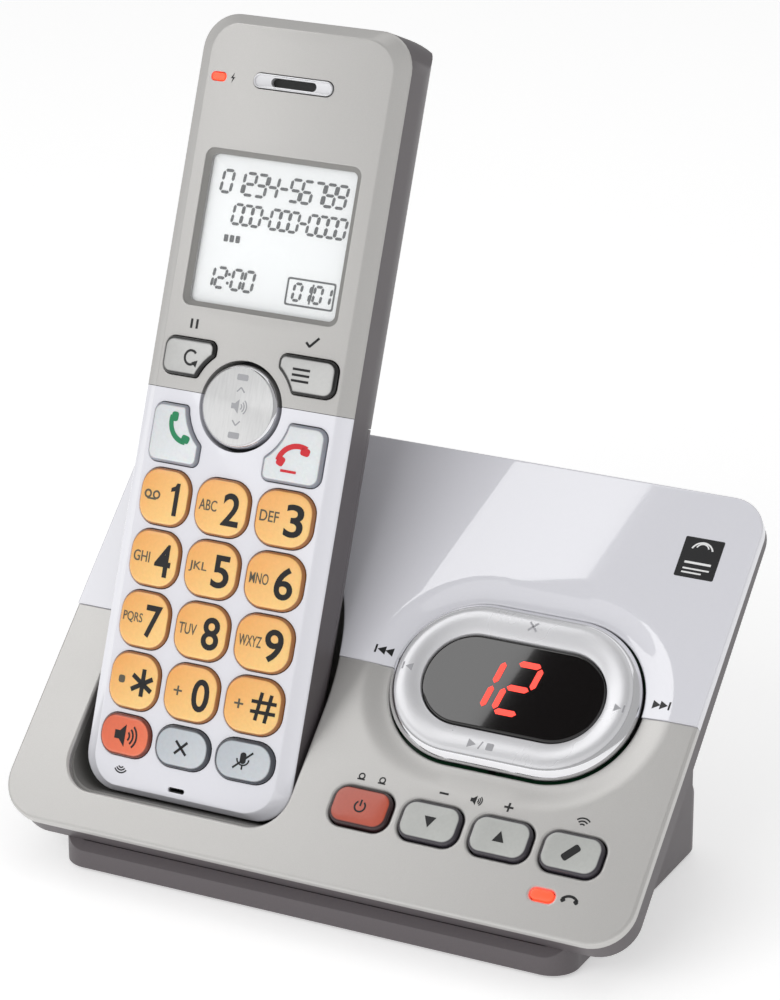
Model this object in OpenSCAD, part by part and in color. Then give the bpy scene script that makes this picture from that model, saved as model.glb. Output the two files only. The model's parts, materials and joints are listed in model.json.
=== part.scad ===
// Cordless telephone: a handset that stands in a charging base with an answering machine.
// The base's front edge faces -Y and the table is Z = 0. The origin is the middle of the
// whole object's footprint.

/* [Base] */
// Width of the deck
deck_w = 144.4; // [140:0.2:150]
// Length of the deck, measured up its slope
deck_l = 101.6; // [98:0.2:105]
// Slope of the deck, in degrees from the table
deck_tilt = 42.5; // [42:0.1:43]
// Height of the deck's front edge above the table
deck_front_z = 12; // [11.8:0.1:12.4]
// Thickness of the deck's panels
deck_t = 2; // [1.8:0.1:2.2]
// Distance up the deck from its front edge to the line between the silver and white areas
split_w = 49.6; // [48:0.2:52]
// Width of the dark foot under the deck
foot_w = 118; // [114:1:122]

/* [Handset] */
// Width of the handset
hs_w = 49; // [48:0.2:50]
// Length of the handset
hs_l = 165.7; // [160:0.1:170]
// Depth of the back cover, behind the line where the covers meet
back_d = 19.6; // [18:0.2:19.8]
// Height of the crowned front, above the line where the covers meet
front_h = 4.4; // [4.2:0.1:4.6]
// Radius of the crown across the front
crown_r = 107; // [100:1:115]
// Lean of the handset, in degrees from the table
hs_tilt = 68.5; // [68.4:0.1:68.6]
// Distance from the deck's centre line to the handset's centre line
hs_x = -33.1; // [-34:0.1:-32]

/* [Keys] */
// Width of a number key
key_w = 12.7; // [12:0.1:12.9]
// Height of a number key
key_h = 12; // [11.5:0.1:12.1]
// Distance between the key columns
key_dx = 14.2; // [14.1:0.05:14.4]
// Distance between the key rows
key_dy = 13.05; // [13:0.05:13.2]
// Height of a key's top above the cover
key_proud = 1; // [0.9:0.05:1.1]
// How far a handset key goes in
key_travel = 0.8; // [0.5:0.1:0.8]

/* [Display ring] */
// Width of the ring
ring_w = 54.8; // [54:0.2:56]
// Height of the ring
ring_h = 35.6; // [35:0.2:36]
// Width of the display lens
lens_w = 39.6; // [39:0.2:40]
// Height of the display lens
lens_h = 19.8; // [19:0.2:20]

/* [Hidden] */
$fn = 64;
e = 0.01;               // overshoot of a cutting tool
wall = 1.8;             // moulded wall
gap = 0.35;             // gap round a handset key
far = 400;              // longer than anything here

key_labels = ["1", "2", "3", "4", "5", "6", "7", "8", "9", "star", "0", "hash"];
digit_keys = [for (l = key_labels) str("key_", l)];
button_names = ["answer_button", "volume_down_button", "volume_up_button", "locator_button"];

// Where the handset stands: the middle of its lower end, on the line where its covers meet
hs_y = 12.46;
hs_z = 16;
back_r = 14;            // rounding of the back cover's long edges
back_top_r = 12;
back_end_r = 6;

// The origin is midway between the deck's front edge and the back of the handset's top
deck_chamfer = 0.6;
front_y = deck_chamfer * sin(deck_tilt);
rear_y = hs_y + (hs_l - back_top_r) * cos(hs_tilt) + (back_d - back_top_r) * sin(hs_tilt) + back_top_r;
mid_y = (front_y + rear_y) / 2;

module on_table() translate([0, -mid_y, 0]) children();
// Deck frame: X across, Y up the slope from the front edge, Z out of the deck
module on_deck() on_table() translate([0, 0, deck_front_z]) rotate([deck_tilt, 0, 0]) children();
// Handset frame: X across, Y up the handset from its lower end, Z out of its front
module on_handset() on_table() translate([hs_x, hs_y, hs_z]) rotate([hs_tilt, 0, 0]) children();

// ---------- shapes ----------

// Rectangle with a radius for each corner: [bottom left, bottom right, top right, top left]
module rounded(x0, y0, x1, y1, r) {
    polygon(concat(
        r[0] > 0 ? [[x0, y0 + r[0]], [x0 + r[0], y0]] : [[x0, y0]],
        r[1] > 0 ? [[x1 - r[1], y0], [x1, y0 + r[1]]] : [[x1, y0]],
        r[2] > 0 ? [[x1, y1 - r[2]], [x1 - r[2], y1]] : [[x1, y1]],
        r[3] > 0 ? [[x0 + r[3], y1], [x0, y1 - r[3]]] : [[x0, y1]]));
    corners = [[x0 + r[0], y0 + r[0]], [x1 - r[1], y0 + r[1]], [x1 - r[2], y1 - r[2]], [x0 + r[3], y1 - r[3]]];
    for (i = [0:3])
        if (r[i] > 0)
            translate(corners[i]) circle(r = r[i]);
}
module centred(w, h, r) rounded(-w / 2, -h / 2, w / 2, h / 2, [r, r, r, r]);
module stadium(w, h) {
    square([w - h, h], center = true);
    for (s = [-1, 1])
        translate([s * (w - h) / 2, 0]) circle(d = h);
}
module prism(z0, z1) translate([0, 0, z0]) linear_extrude(z1 - z0) children();
// Extrudes an outline drawn in Y, Z along X, or one drawn in X, Z along Y
module along_x(x0, x1) translate([x0, 0, 0]) rotate([90, 0, 90]) linear_extrude(x1 - x0) children();
module along_y(y0, y1) translate([0, y1, 0]) rotate([90, 0, 0]) linear_extrude(y1 - y0) children();

// ---------- handset shapes ----------

// Everything under the crowned front, lowered by d
module under_crown(d) translate([0, hs_l / 2, front_h - crown_r])
    rotate([90, 0, 0]) cylinder(r = crown_r - d, h = far, center = true, $fn = 200);

face_hw = 21.5;         // half width of the front inside its bevels
bevel_z = 0.1;          // height of the bevel's outer edge
face_edge_z = front_h - crown_r + sqrt(pow(crown_r, 2) - pow(face_hw, 2));
module hs_outline(d) rounded(-hs_w / 2 + d, d, hs_w / 2 - d, hs_l - d, [8 - d, 8 - d, 8 - d, 8 - d]);

// The front as one solid, with its bevels, inset by d
module front_solid(d) intersection() {
    prism(-e, front_h + 1) hs_outline(d);
    under_crown(d);
    along_y(-1, hs_l + 1)
        polygon([[-hs_w / 2 + d, -e], [hs_w / 2 - d, -e], [hs_w / 2 - d, bevel_z],
                 [face_hw - d, face_edge_z], [face_hw - d, front_h + 2], [-face_hw + d, front_h + 2],
                 [-face_hw + d, face_edge_z], [-hs_w / 2 + d, bevel_z]]);
    along_x(-hs_w, hs_w)
        polygon([[d, -e], [hs_l - d, -e], [hs_l - d, bevel_z], [hs_l - 2.3 - d, front_h + 0.2],
                 [1.5 + d, front_h + 0.2], [d, bevel_z]]);
}
module front_shell() difference() {
    intersection() {
        front_solid(0);
        prism(0, front_h + 1) translate([-hs_w, -1]) square([2 * hs_w, hs_l + 2]);
    }
    intersection() {
        prism(-1, front_h) hs_outline(wall);
        under_crown(wall);
    }
}

// The back as one solid, inset by d
module back_section(d) rounded(-hs_w / 2 + d, -back_d + d, hs_w / 2 - d, 0, [back_r - d, back_r - d, 0, 0]);
module back_solid(d) intersection() {
    along_y(d, hs_l - d) back_section(d);
    along_x(-hs_w, hs_w) rounded(d, -back_d + d, hs_l - d, 0, [back_end_r - d, back_top_r - d, 0, 0]);
    prism(-back_d - 1, 0) hs_outline(d);
}

// Places along the handset, from its lower end
row_y = [for (i = [0:3]) 63 - i * key_dy];
low_row_y = 12.25;
rocker_y = 84.35;
rocker_r = 8.8;
hs_split_y = 84.5;
window_y = 120.35;
window_w = 34.5;
window_h = 31.5;
ear_y = 152;
door_y0 = 14;
door_y1 = 84;
door_z = -8;
door_t = 1.7;
bay_z = -5.3;           // top of the battery bay's floor
board_z = -4;
mat_z = -2.4;
key_z = -0.1;           // underside of a key's flange
flange_t = 0.5;
contact_x = 9;
contact_z = -12.5;
screw_places = [for (x = [-9, 9], y = [92, 157]) [x, y]];

// Outlines of the keys, grown by g
module digit_shape(g) centred(key_w + 2 * g, key_h + 2 * g, 4.3 + g);
module low_shape(g) centred(12.9 + 2 * g, 8.8 + 2 * g, 4 + g);
// A key beside the rocker, on side s, from y0 to y1, hollowed round the rocker
module side_shape(s, y0, y1, g) difference() {
    translate([s * 14, (y0 + y1) / 2]) centred(12.9 + 2 * g, y1 - y0 + 2 * g, 2.5 + g);
    translate([0, rocker_y]) circle(r = 12.1 - g);
}
talk_y = [70.2, 82.7];
soft_y = [88.8, 96.8];
module talk_shape(s, g) side_shape(s, talk_y[0], talk_y[1], g);
module soft_shape(s, g) side_shape(s, soft_y[0], soft_y[1], g);

// A key: its cap follows the crown, and its flange holds it under the cover
module key_body() {
    intersection() {
        prism(key_z, front_h + 3) children(0);
        translate([0, 0, key_proud]) under_crown(0);
    }
    intersection() {
        prism(key_z, key_z + flange_t) children(1);
        under_crown(wall + 0.2);
    }
}
function digit_place(i) = [(i % 3 - 1) * key_dx, row_y[floor(i / 3)]];
module digit_key(i) color([0.95, 0.72, 0.40]) on_handset() key_body() {
    translate(digit_place(i)) digit_shape(0);
    translate(digit_place(i)) digit_shape(0.45);
}
module low_key(i) color(i == 0 ? [0.92, 0.48, 0.36] : [0.78, 0.80, 0.82]) on_handset() key_body() {
    translate([(i - 1) * key_dx, low_row_y]) low_shape(0);
    translate([(i - 1) * key_dx, low_row_y]) low_shape(0.6);
}
module speaker_key() low_key(0);
module delete_key() low_key(1);
module mute_key() low_key(2);
module talk_key() color([0.88, 0.90, 0.90]) on_handset() key_body() {
    talk_shape(-1, 0);
    talk_shape(-1, 0.6);
}
module off_key() color([0.90, 0.86, 0.86]) on_handset() key_body() {
    talk_shape(1, 0);
    talk_shape(1, 0.6);
}
module redial_key() color([0.82, 0.82, 0.82]) on_handset() key_body() {
    soft_shape(-1, 0);
    soft_shape(-1, 0.6);
}
module menu_key() color([0.82, 0.82, 0.82]) on_handset() key_body() {
    soft_shape(1, 0);
    soft_shape(1, 0.6);
}
// The two-way rocker turns on a pin across the handset, under the cover
pin_z = 0.75;
module volume_rocker() color([0.80, 0.80, 0.80]) on_handset() translate([0, rocker_y, 0]) {
    difference() {
        cylinder(r = rocker_r, h = front_h + 1.1);
        translate([0, 0, 44 + front_h + 0.5]) sphere(r = 44, $fn = 128);
    }
    translate([0, 0, pin_z]) rotate([0, 90, 0]) cylinder(r = 0.65, h = 2 * rocker_r + 3.6, center = true);
}

// ---------- handset parts ----------

module face_cutters() {
    for (i = [0:11])
        translate(digit_place(i)) digit_shape(gap);
    for (i = [-1:1])
        translate([i * key_dx, low_row_y]) low_shape(gap);
    for (s = [-1, 1]) {
        talk_shape(s, gap);
        soft_shape(s, gap);
    }
    translate([0, rocker_y]) circle(r = 9.5);
    translate([0, window_y]) centred(window_w + 0.4, window_h + 0.4, 1.7);
    translate([0, ear_y]) stadium(18.6, 3.2);
    translate([-18.3, 151.9]) centred(3.9, 2, 0.9);
    translate([0, 3.2]) centred(3.8, 1, 0.45);
}
module face_part(y0, y1) difference() {
    intersection() {
        front_shell();
        translate([-hs_w, y0, -1]) cube([2 * hs_w, y1 - y0, 10]);
    }
    prism(-1, 10) face_cutters();
}
module display_bezel() color([0.80, 0.79, 0.78]) on_handset() face_part(hs_split_y + 0.05, hs_l + 1);
// Bearings for the rocker's pin, under the lower cover
module rocker_bearings() for (s = [-1, 1])
    difference() {
        translate([s * 10.3 - 0.6, rocker_y - 2.8, -0.3]) {
            cube([1.2, 2.8, 2.6]);
            cube([1.2, 4.1, 2.1]);
        }
        translate([0, rocker_y, pin_z]) rotate([0, 90, 0]) cylinder(r = 0.7, h = hs_w, center = true);
    }
module front_cover() color([0.93, 0.93, 0.96]) on_handset() {
    face_part(-1, hs_split_y - 0.05);
    rocker_bearings();
}

boss_r = 3.2;
module back_cover() color([0.38, 0.36, 0.38]) on_handset() difference() {
    union() {
        difference() {
            back_solid(0);
            back_solid(wall);
            // opening that the door covers, and the step that it slides over
            translate([-hs_w, -1, -back_d - 1]) cube([2 * hs_w, door_y1 + 1.15, back_d + 1 + door_z + 0.15]);
        }
        // lower end, stepped in below the door
        intersection() {
            difference() {
                back_solid(door_t + 0.2);
                back_solid(door_t + 2);
            }
            translate([-hs_w, -1, -back_d]) cube([2 * hs_w, door_y0 + 1 - 0.15, back_d + bay_z]);
        }
        // battery bay: floor and end walls
        intersection() {
            back_solid(wall - 0.2);
            translate([-hs_w, -1, bay_z - 1.3]) cube([2 * hs_w, door_y1 + 7, 1.3]);
        }
        for (y = [door_y0 - 1.95, door_y1 + 0.3])
            intersection() {
                back_solid(door_t + 0.2);
                translate([-hs_w, y, -back_d]) cube([2 * hs_w, 1.8, back_d + bay_z]);
            }
        for (p = screw_places)
            translate([p[0], p[1], -back_d + wall - 0.2]) cylinder(r = boss_r, h = back_d - wall + board_z + 0.1);
    }
    for (p = screw_places)
        translate([p[0], p[1], -back_d - 1]) {
            cylinder(r = 1.2, h = back_d + 1);
            cylinder(r = 2.4, h = 3.6);
        }
    // sound slots of the loudspeaker
    for (i = [-2:2])
        translate([0, 124 + 3.2 * i, -back_d]) cube([i % 2 == 0 ? 13 : 16, 1.3, 6], center = true);
    // slots for the charge pads
    for (s = [-1, 1])
        translate([s * contact_x, 0, contact_z]) cube([4.2, 10, 5.2], center = true);
}
module battery_door() color([0.36, 0.34, 0.36]) on_handset() difference() {
    intersection() {
        back_solid(0);
        translate([-hs_w, door_y0, -back_d - 1]) cube([2 * hs_w, door_y1 - door_y0, back_d + 1 + door_z]);
    }
    along_y(-1, hs_l) back_section(door_t);
    // thumb ribs
    for (i = [0:3])
        translate([0, 70 + 2.4 * i, -back_d]) cube([12 + 2 * i, 1, 0.9], center = true);
}
module battery_pack() color([0.15, 0.45, 0.30]) on_handset() {
    translate([0, 26, -12.1]) {
        for (s = [-1, 1])
            translate([s * 5.2, 0, 0]) rotate([-90, 0, 0]) cylinder(r = 5.25, h = 46);
        translate([-5.2, 0, -5.25]) cube([10.4, 46, 10.5]);
    }
    translate([-3, 72, -12.6]) cube([6, 4, 4]);
}
module handset_board() color([0.10, 0.35, 0.20]) on_handset() difference() {
    prism(board_z, mat_z) rounded(-20.5, 3, 20.5, 162, [5, 5, 5, 5]);
    for (p = screw_places)
        translate([p[0], p[1], board_z - 1]) cylinder(r = 1.4, h = 4);
}
module lcd_module() color([0.75, 0.80, 0.80]) on_handset() intersection() {
    prism(mat_z, 1.05) translate([0, window_y]) centred(38, 36, 1);
    under_crown(wall + 0.15);
}
module display_window() color([0.80, 0.88, 0.95, 0.5]) on_handset()
    prism(1.1, 2.3) translate([0, window_y]) centred(window_w, window_h, 1.5);
module keypad_mat() color([0.85, 0.85, 0.85]) on_handset()
    prism(mat_z, -1) rounded(-20.5, 7.4, 20.5, 99.5, [3, 3, 3, 3]);
module receiver() color([0.2, 0.2, 0.2]) on_handset()
    translate([0, ear_y, mat_z]) cylinder(r = 8, h = 3);
module receiver_grille() color([0.85, 0.85, 0.87]) on_handset() difference() {
    prism(1.2, front_h - 0.55) translate([0, ear_y]) stadium(18.2, 2.8);
    prism(0, front_h + 1) translate([0, ear_y]) stadium(9.8, 1.9);
}
module charge_light() color([0.95, 0.15, 0.10]) on_handset() intersection() {
    prism(mat_z, front_h) translate([-18.3, 151.9]) centred(3.6, 1.7, 0.75);
    translate([0, 0, 0.15]) under_crown(0);
}
module microphone() color([0.2, 0.2, 0.2]) on_handset()
    translate([0, 5.2, mat_z]) cylinder(r = 2, h = 3);
module loudspeaker() color([0.2, 0.2, 0.2]) on_handset()
    translate([0, 124, -back_d + wall + 0.1]) {
        cylinder(r = 11, h = 3);
        cylinder(r = 6.5, h = 6);
    }
module charge_pads() color([0.85, 0.80, 0.60]) on_handset()
    for (s = [-1, 1])
        translate([s * contact_x, door_t + 1.2, contact_z]) cube([4, 2.4, 5], center = true);
module handset_screws() color([0.5, 0.5, 0.52]) on_handset()
    for (p = screw_places)
        translate([p[0], p[1], -back_d + 1.4]) difference() {
            union() {
                cylinder(r = 2.2, h = 1.2);
                cylinder(r = 1.1, h = 15);
            }
            for (a = [0, 90])
                rotate([0, 0, a]) cube([2.4, 0.6, 1.2], center = true);
        }

// ---------- base shapes ----------

ring_x = 31.9;          // centre of the display ring
ring_y = split_w;
button_x = [for (i = [0:3]) 8.5 + 15.7 * i];
button_y = 17.8;
button_w = 13.2;
button_h = 8.6;
light_place = [52.3, 8.2];
cradle_hw = 26.2;       // half width of the cradle
cradle_dx = -0.8;       // the cradle's centre from the handset's
cradle_floor = -0.5;    // under the handset's lower end
cradle_back = back_d + 0.9;
cradle_front = front_h + 0.6;
cradle_t = 1.6;
skirt_front = 6;        // depth of the dark skirt under the panels, at the front and at the rear
skirt_rear = 3.5;
skirt_angle = atan((skirt_front - skirt_rear) / deck_l);

module deck_outline(d) rounded(-deck_w / 2 + d, d, deck_w / 2 - d, deck_l - d, [10 - d, 9 - d, 8 - d, 8 - d]);
module ring_place() translate([ring_x, ring_y]) children();
module deck_openings() {
    ring_place() stadium(ring_w + 1.4, ring_h + 1.4);
    for (x = button_x)
        translate([x, button_y]) centred(button_w + 0.7, button_h + 0.7, 3.3);
    translate(light_place) centred(5.5, 2.8, 1.3);
}
// The space that the handset stands in, grown by g on every side
module cradle_space(g) intersection() {
    translate([cradle_dx, 0, 0]) prism(-cradle_back - g, cradle_front + g)
        rounded(-cradle_hw - g, cradle_floor - g, cradle_hw + g, far / 4, [7.5 + g, 7.5 + g, 0, 0]);
    translate([cradle_dx, 0, 0]) along_y(cradle_floor - g, far / 4)
        rounded(-cradle_hw - g, -cradle_back - g, cradle_hw + g, cradle_front + g, [7 + g, 7 + g, 0, 0]);
}
module under_deck(z) on_deck() translate([-far / 2, -far / 2, z - far]) cube([far, far, far]);
module over_tray_floor(d) on_deck() translate([0, 0, -deck_t - skirt_front + d]) rotate([skirt_angle, 0, 0])
    translate([-far / 2, -far / 2, 0]) cube([far, far, far / 4]);

// ---------- base parts ----------

// Silver cover: the full deck below the split line, and a thinner shelf under the white panel
module deck_cover() color([0.70, 0.69, 0.67]) difference() {
    on_deck() difference() {
        union() {
            prism(-deck_t, 0) intersection() {
                deck_outline(0);
                translate([-deck_w, -1]) square([2 * deck_w, split_w + 1 - 0.1]);
            }
            prism(-deck_t, -deck_t / 2) deck_outline(0.4);
            // bearings of the ring's frame
            for (s = [-1, 1])
                translate([ring_x + s * 29.35, ring_y, -3.15]) cube([1.5, 3.8, 2.5], center = true);
        }
        translate([0, 0, -deck_t - e]) linear_extrude(deck_t + 1) deck_openings();
        translate([ring_x - 40, ring_y, -3.1]) rotate([0, 90, 0]) cylinder(r = 0.85, h = 80);
        // chamfer of the front edge
        along_x(-deck_w, deck_w)
            polygon([[-1, -deck_chamfer - 1], [deck_chamfer + 1, 1], [-1, 1]]);
    }
    on_handset() cradle_space(0);
}
module white_panel() color([0.92, 0.92, 0.95]) difference() {
    on_deck() difference() {
        prism(-deck_t / 2, 0.5) intersection() {
            deck_outline(0);
            translate([-deck_w, split_w + 0.1]) square([2 * deck_w, deck_l]);
        }
        translate([0, 0, -deck_t]) linear_extrude(deck_t + 2) deck_openings();
    }
    on_handset() cradle_space(0);
}
// Pocket for the handset: floor, back, sides and low front wall, with slots for the contacts
module charging_cradle() color([0.66, 0.65, 0.63]) difference() {
    intersection() {
        on_handset() cradle_space(cradle_t);
        under_deck(-deck_t);
    }
    on_handset() {
        cradle_space(0);
        for (s = [-1, 1])
            translate([s * contact_x, 0, contact_z]) cube([3.4, 8, 5.4], center = true);
    }
}
// Dark tray under the panels: its rim shows below them as a skirt
module deck_tray() color([0.38, 0.36, 0.38]) difference() {
    intersection() {
        on_deck() prism(-deck_t - skirt_front, -deck_t) deck_outline(0.6);
        over_tray_floor(0);
    }
    intersection() {
        on_deck() prism(-deck_t - skirt_front, 1) deck_outline(0.6 + wall);
        over_tray_floor(1.5);
    }
    on_table() prism(-1, far / 2) rounded(-foot_w / 2 + wall, foot_y0 + wall, foot_w / 2 - wall,
        foot_top_y - wall, [4.2, 4.2, 4.2, 4.2]);
    on_handset() cradle_space(cradle_t + 0.15);
}
foot_z = 0.8;           // underside of the foot, above the rubber feet's soles
foot_y0 = 4;
foot_y1 = 75;
foot_top_y = 68.5;      // the rear wall stands forward of the foot's rear edge
heel_z = 7.3;
heel_slope_z = 16.6;
module foot_section(d) polygon([
    [foot_y0 + d, foot_z + d], [foot_y1 - d, foot_z + d], [foot_y1 - d, heel_z - d * 0.3],
    [foot_top_y - d, heel_slope_z - d * 0.3], [foot_top_y - d, 90], [foot_y0 + d, 90]]);
module foot_solid(d) intersection() {
    along_x(-foot_w / 2 + d, foot_w / 2 - d) foot_section(d);
    prism(0, 100) rounded(-foot_w / 2 + d, foot_y0 + d, foot_w / 2 - d, foot_y1 - d, [6 - d, 6 - d, 7 - d, 7 - d]);
}
line_x = -20;
power_x = -45;
jack_z = 30;
foot_places = [for (x = [-50, 50], y = [13, 64]) [x, y]];
base_screw_places = [for (x = [-34, 34], y = [14, 62]) [x, y]];
speaker_place = [30, 42];
module lower_housing() color([0.36, 0.34, 0.36]) difference() {
    union() {
        difference() {
            on_table() foot_solid(0);
            on_table() foot_solid(wall);
        }
        on_table() for (p = base_screw_places)
            translate([p[0], p[1], foot_z + 0.5]) cylinder(r = 3.6, h = p[1] < 30 ? 4.2 : 14);
        // the cradle stands out past the foot's left side, so a shroud covers it there
        intersection() {
            on_handset() cradle_space(cradle_t + 0.3 + wall);
            on_table() translate([-deck_w / 2, 0, foot_z]) cube([(deck_w - foot_w) / 2 + 0.5, deck_l, deck_l]);
        }
    }
    over_tray_floor(0);
    on_handset() cradle_space(cradle_t + 0.3);
    on_table() {
        for (p = foot_places)
            translate([p[0], p[1], 0]) cylinder(r = 5.2, h = foot_z + 0.7);
        for (p = base_screw_places)
            translate([p[0], p[1], 0]) {
                cylinder(r = 1.4, h = 30);
                cylinder(r = 2.8, h = foot_z + 2.2);
            }
        // sound slots of the speaker
        for (i = [-3:3])
            translate([speaker_place[0], speaker_place[1] + 3.4 * i, 0])
                cube([i % 2 == 0 ? 20 : 23, 1.5, 8], center = true);
        translate([line_x, foot_top_y, jack_z]) cube([13.1, 20, 12.1], center = true);
        translate([power_x, foot_top_y, jack_z]) cube([10.1, 20, 12.1], center = true);
    }
}
// Ring round the display: it rocks up and down with its frame, and left and right on it
rock_z = -3.1;
module play_ring() color([0.85, 0.85, 0.86]) on_deck() translate([ring_x, ring_y, 0]) {
    difference() {
        prism(-1, 2.2) stadium(ring_w, ring_h);
        prism(-2, 3) stadium(lens_w + 1, lens_h + 1);
    }
    for (s = [-1, 1])
        difference() {
            translate([-1.8, s * 16.6 - 0.7, -4.1]) cube([3.6, 1.4, 3.2]);
            translate([0, 0, rock_z]) rotate([90, 0, 0]) cylinder(r = 0.85, h = 80, center = true);
        }
}
module ring_frame() color([0.3, 0.3, 0.3]) on_deck() translate([ring_x, ring_y, 0]) {
    difference() {
        prism(rock_z - 0.8, rock_z + 0.8) stadium(49.5, 30.5);
        prism(rock_z - 2, rock_z + 2) stadium(41.4, 21.6);
    }
    for (s = [-1, 1]) {
        translate([s * 27, 0, rock_z]) rotate([0, 90, 0]) cylinder(r = 0.8, h = 5.6, center = true);
        translate([0, s * 16.1, rock_z]) rotate([90, 0, 0]) cylinder(r = 0.8, h = 2.4, center = true);
    }
}
module display_lens() color([0.05, 0.05, 0.05]) on_deck() translate([ring_x, ring_y, 0])
    prism(-0.2, 1.5) stadium(lens_w, lens_h);
board_top = -6;
module digit_display() color([0.25, 0.05, 0.05]) on_deck() translate([ring_x, ring_y, 0])
    prism(board_top, -0.2) centred(26, 15, 0.5);
module base_board() color([0.10, 0.35, 0.20]) on_deck() difference() {
    prism(board_top - 1.6, board_top) rounded(-3.5, 9, 56.7, 80, [1, 1, 1, 1]);
    for (x = [2, 50])
        translate([x, 74, board_top - 2]) cylinder(r = 1.4, h = 3);
}
button_travel = 0.8;
module button_mat() color([0.8, 0.8, 0.8]) on_deck()
    prism(board_top, board_top + 1.2) rounded(-1, 12, 56.6, 24, [2, 2, 2, 2]);
module base_button(i) color(i == 0 ? [0.72, 0.36, 0.30] : [0.78, 0.78, 0.77]) on_deck()
    translate([button_x[i], button_y, 0]) {
        prism(-2.6, 1) centred(button_w, button_h, 3);
        prism(-2.75, -2.25) centred(button_w + 1.6, button_h + 1.6, 3.8);
        prism(board_top + 1.3 + button_travel, -2.6) circle(r = 1.15);
    }
module answer_button() base_button(0);
module volume_down_button() base_button(1);
module volume_up_button() base_button(2);
module locator_button() base_button(3);
module in_use_light() color([0.95, 0.2, 0.1]) on_deck() translate([light_place[0], light_place[1], 0])
    prism(-3.6, 0.3) centred(5.2, 2.5, 1.15);
module base_speaker() color([0.2, 0.2, 0.2]) on_table()
    translate([speaker_place[0], speaker_place[1], foot_z + wall + 0.1]) {
        cylinder(r = 14, h = 3.5);
        cylinder(r = 8, h = 8);
    }
// Six-position socket for the telephone line, open to the rear
socket_w = 9.7;
socket_h = 6.8;
socket_d = 9;
module line_jack() color([0.12, 0.12, 0.12]) on_table() translate([line_x, foot_top_y, jack_z]) {
    difference() {
        translate([-6.5, -13, -6]) cube([13, 13, 12]);
        translate([-socket_w / 2, -socket_d, -socket_h / 2 - 0.6]) cube([socket_w, socket_d + 1, socket_h]);
        translate([-3, -socket_d, -5.2]) cube([6, socket_d + 1, 2]);
    }
    for (i = [-1.5:1.5])
        translate([i * 1.02 - 0.2, -socket_d - 0.1, 2.1]) cube([0.4, 7, 0.75]);
}
// Round socket for the power adapter, with its centre pin
module power_jack() color([0.12, 0.12, 0.12]) on_table() translate([power_x, foot_top_y, jack_z]) {
    difference() {
        translate([-5, -12, -6]) cube([10, 12, 12]);
        translate([0, 1, 0]) rotate([90, 0, 0]) cylinder(r = 2.85, h = 10);
    }
    translate([0, -1, 0]) rotate([90, 0, 0]) cylinder(r = 0.8, h = 8.5);
}
// Sprung leaves that meet the handset's charge pads
module charge_contacts() color([0.85, 0.80, 0.60]) on_handset()
    for (s = [-1, 1])
        translate([s * contact_x, 0, contact_z]) {
            translate([0, 1.2, 0]) rotate([90, 0, 0]) cylinder(r = 1.5, h = 4.4);
            translate([0, -3, 0]) cube([3, 0.6, 8], center = true);
        }
module rubber_feet() color([0.15, 0.15, 0.15]) on_table()
    for (p = foot_places)
        translate([p[0], p[1], 0]) cylinder(r = 5, h = foot_z + 0.7);
module base_screws() color([0.5, 0.5, 0.52]) on_table()
    for (p = base_screw_places)
        translate([p[0], p[1], foot_z + 1]) difference() {
            union() {
                cylinder(r = 2.5, h = 1.2);
                cylinder(r = 1.3, h = 3.9);
            }
            for (a = [0, 90])
                rotate([0, 0, a]) cube([2.8, 0.7, 1.2], center = true);
        }

display_bezel();
front_cover();
back_cover();
battery_door();
battery_pack();
handset_board();
lcd_module();
display_window();
keypad_mat();
receiver();
receiver_grille();
charge_light();
microphone();
loudspeaker();
charge_pads();
handset_screws();
for (i = [0:len(digit_keys) - 1])
    digit_key(i);
speaker_key();
delete_key();
mute_key();
talk_key();
off_key();
redial_key();
menu_key();
volume_rocker();
deck_cover();
white_panel();
charging_cradle();
deck_tray();
lower_housing();
play_ring();
ring_frame();
display_lens();
digit_display();
base_board();
button_mat();
answer_button();
volume_down_button();
volume_up_button();
locator_button();
in_use_light();
base_speaker();
line_jack();
power_jack();
charge_contacts();
rubber_feet();
base_screws();
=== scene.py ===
"""Cordless telephone with an answering base: its visible pieces, their finishes and the studio."""
import json
import math

import bmesh
import bpy
import numpy as np
from mathutils import Matrix, Vector
from mathutils.geometry import delaunay_2d_cdt, tessellate_polygon

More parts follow.
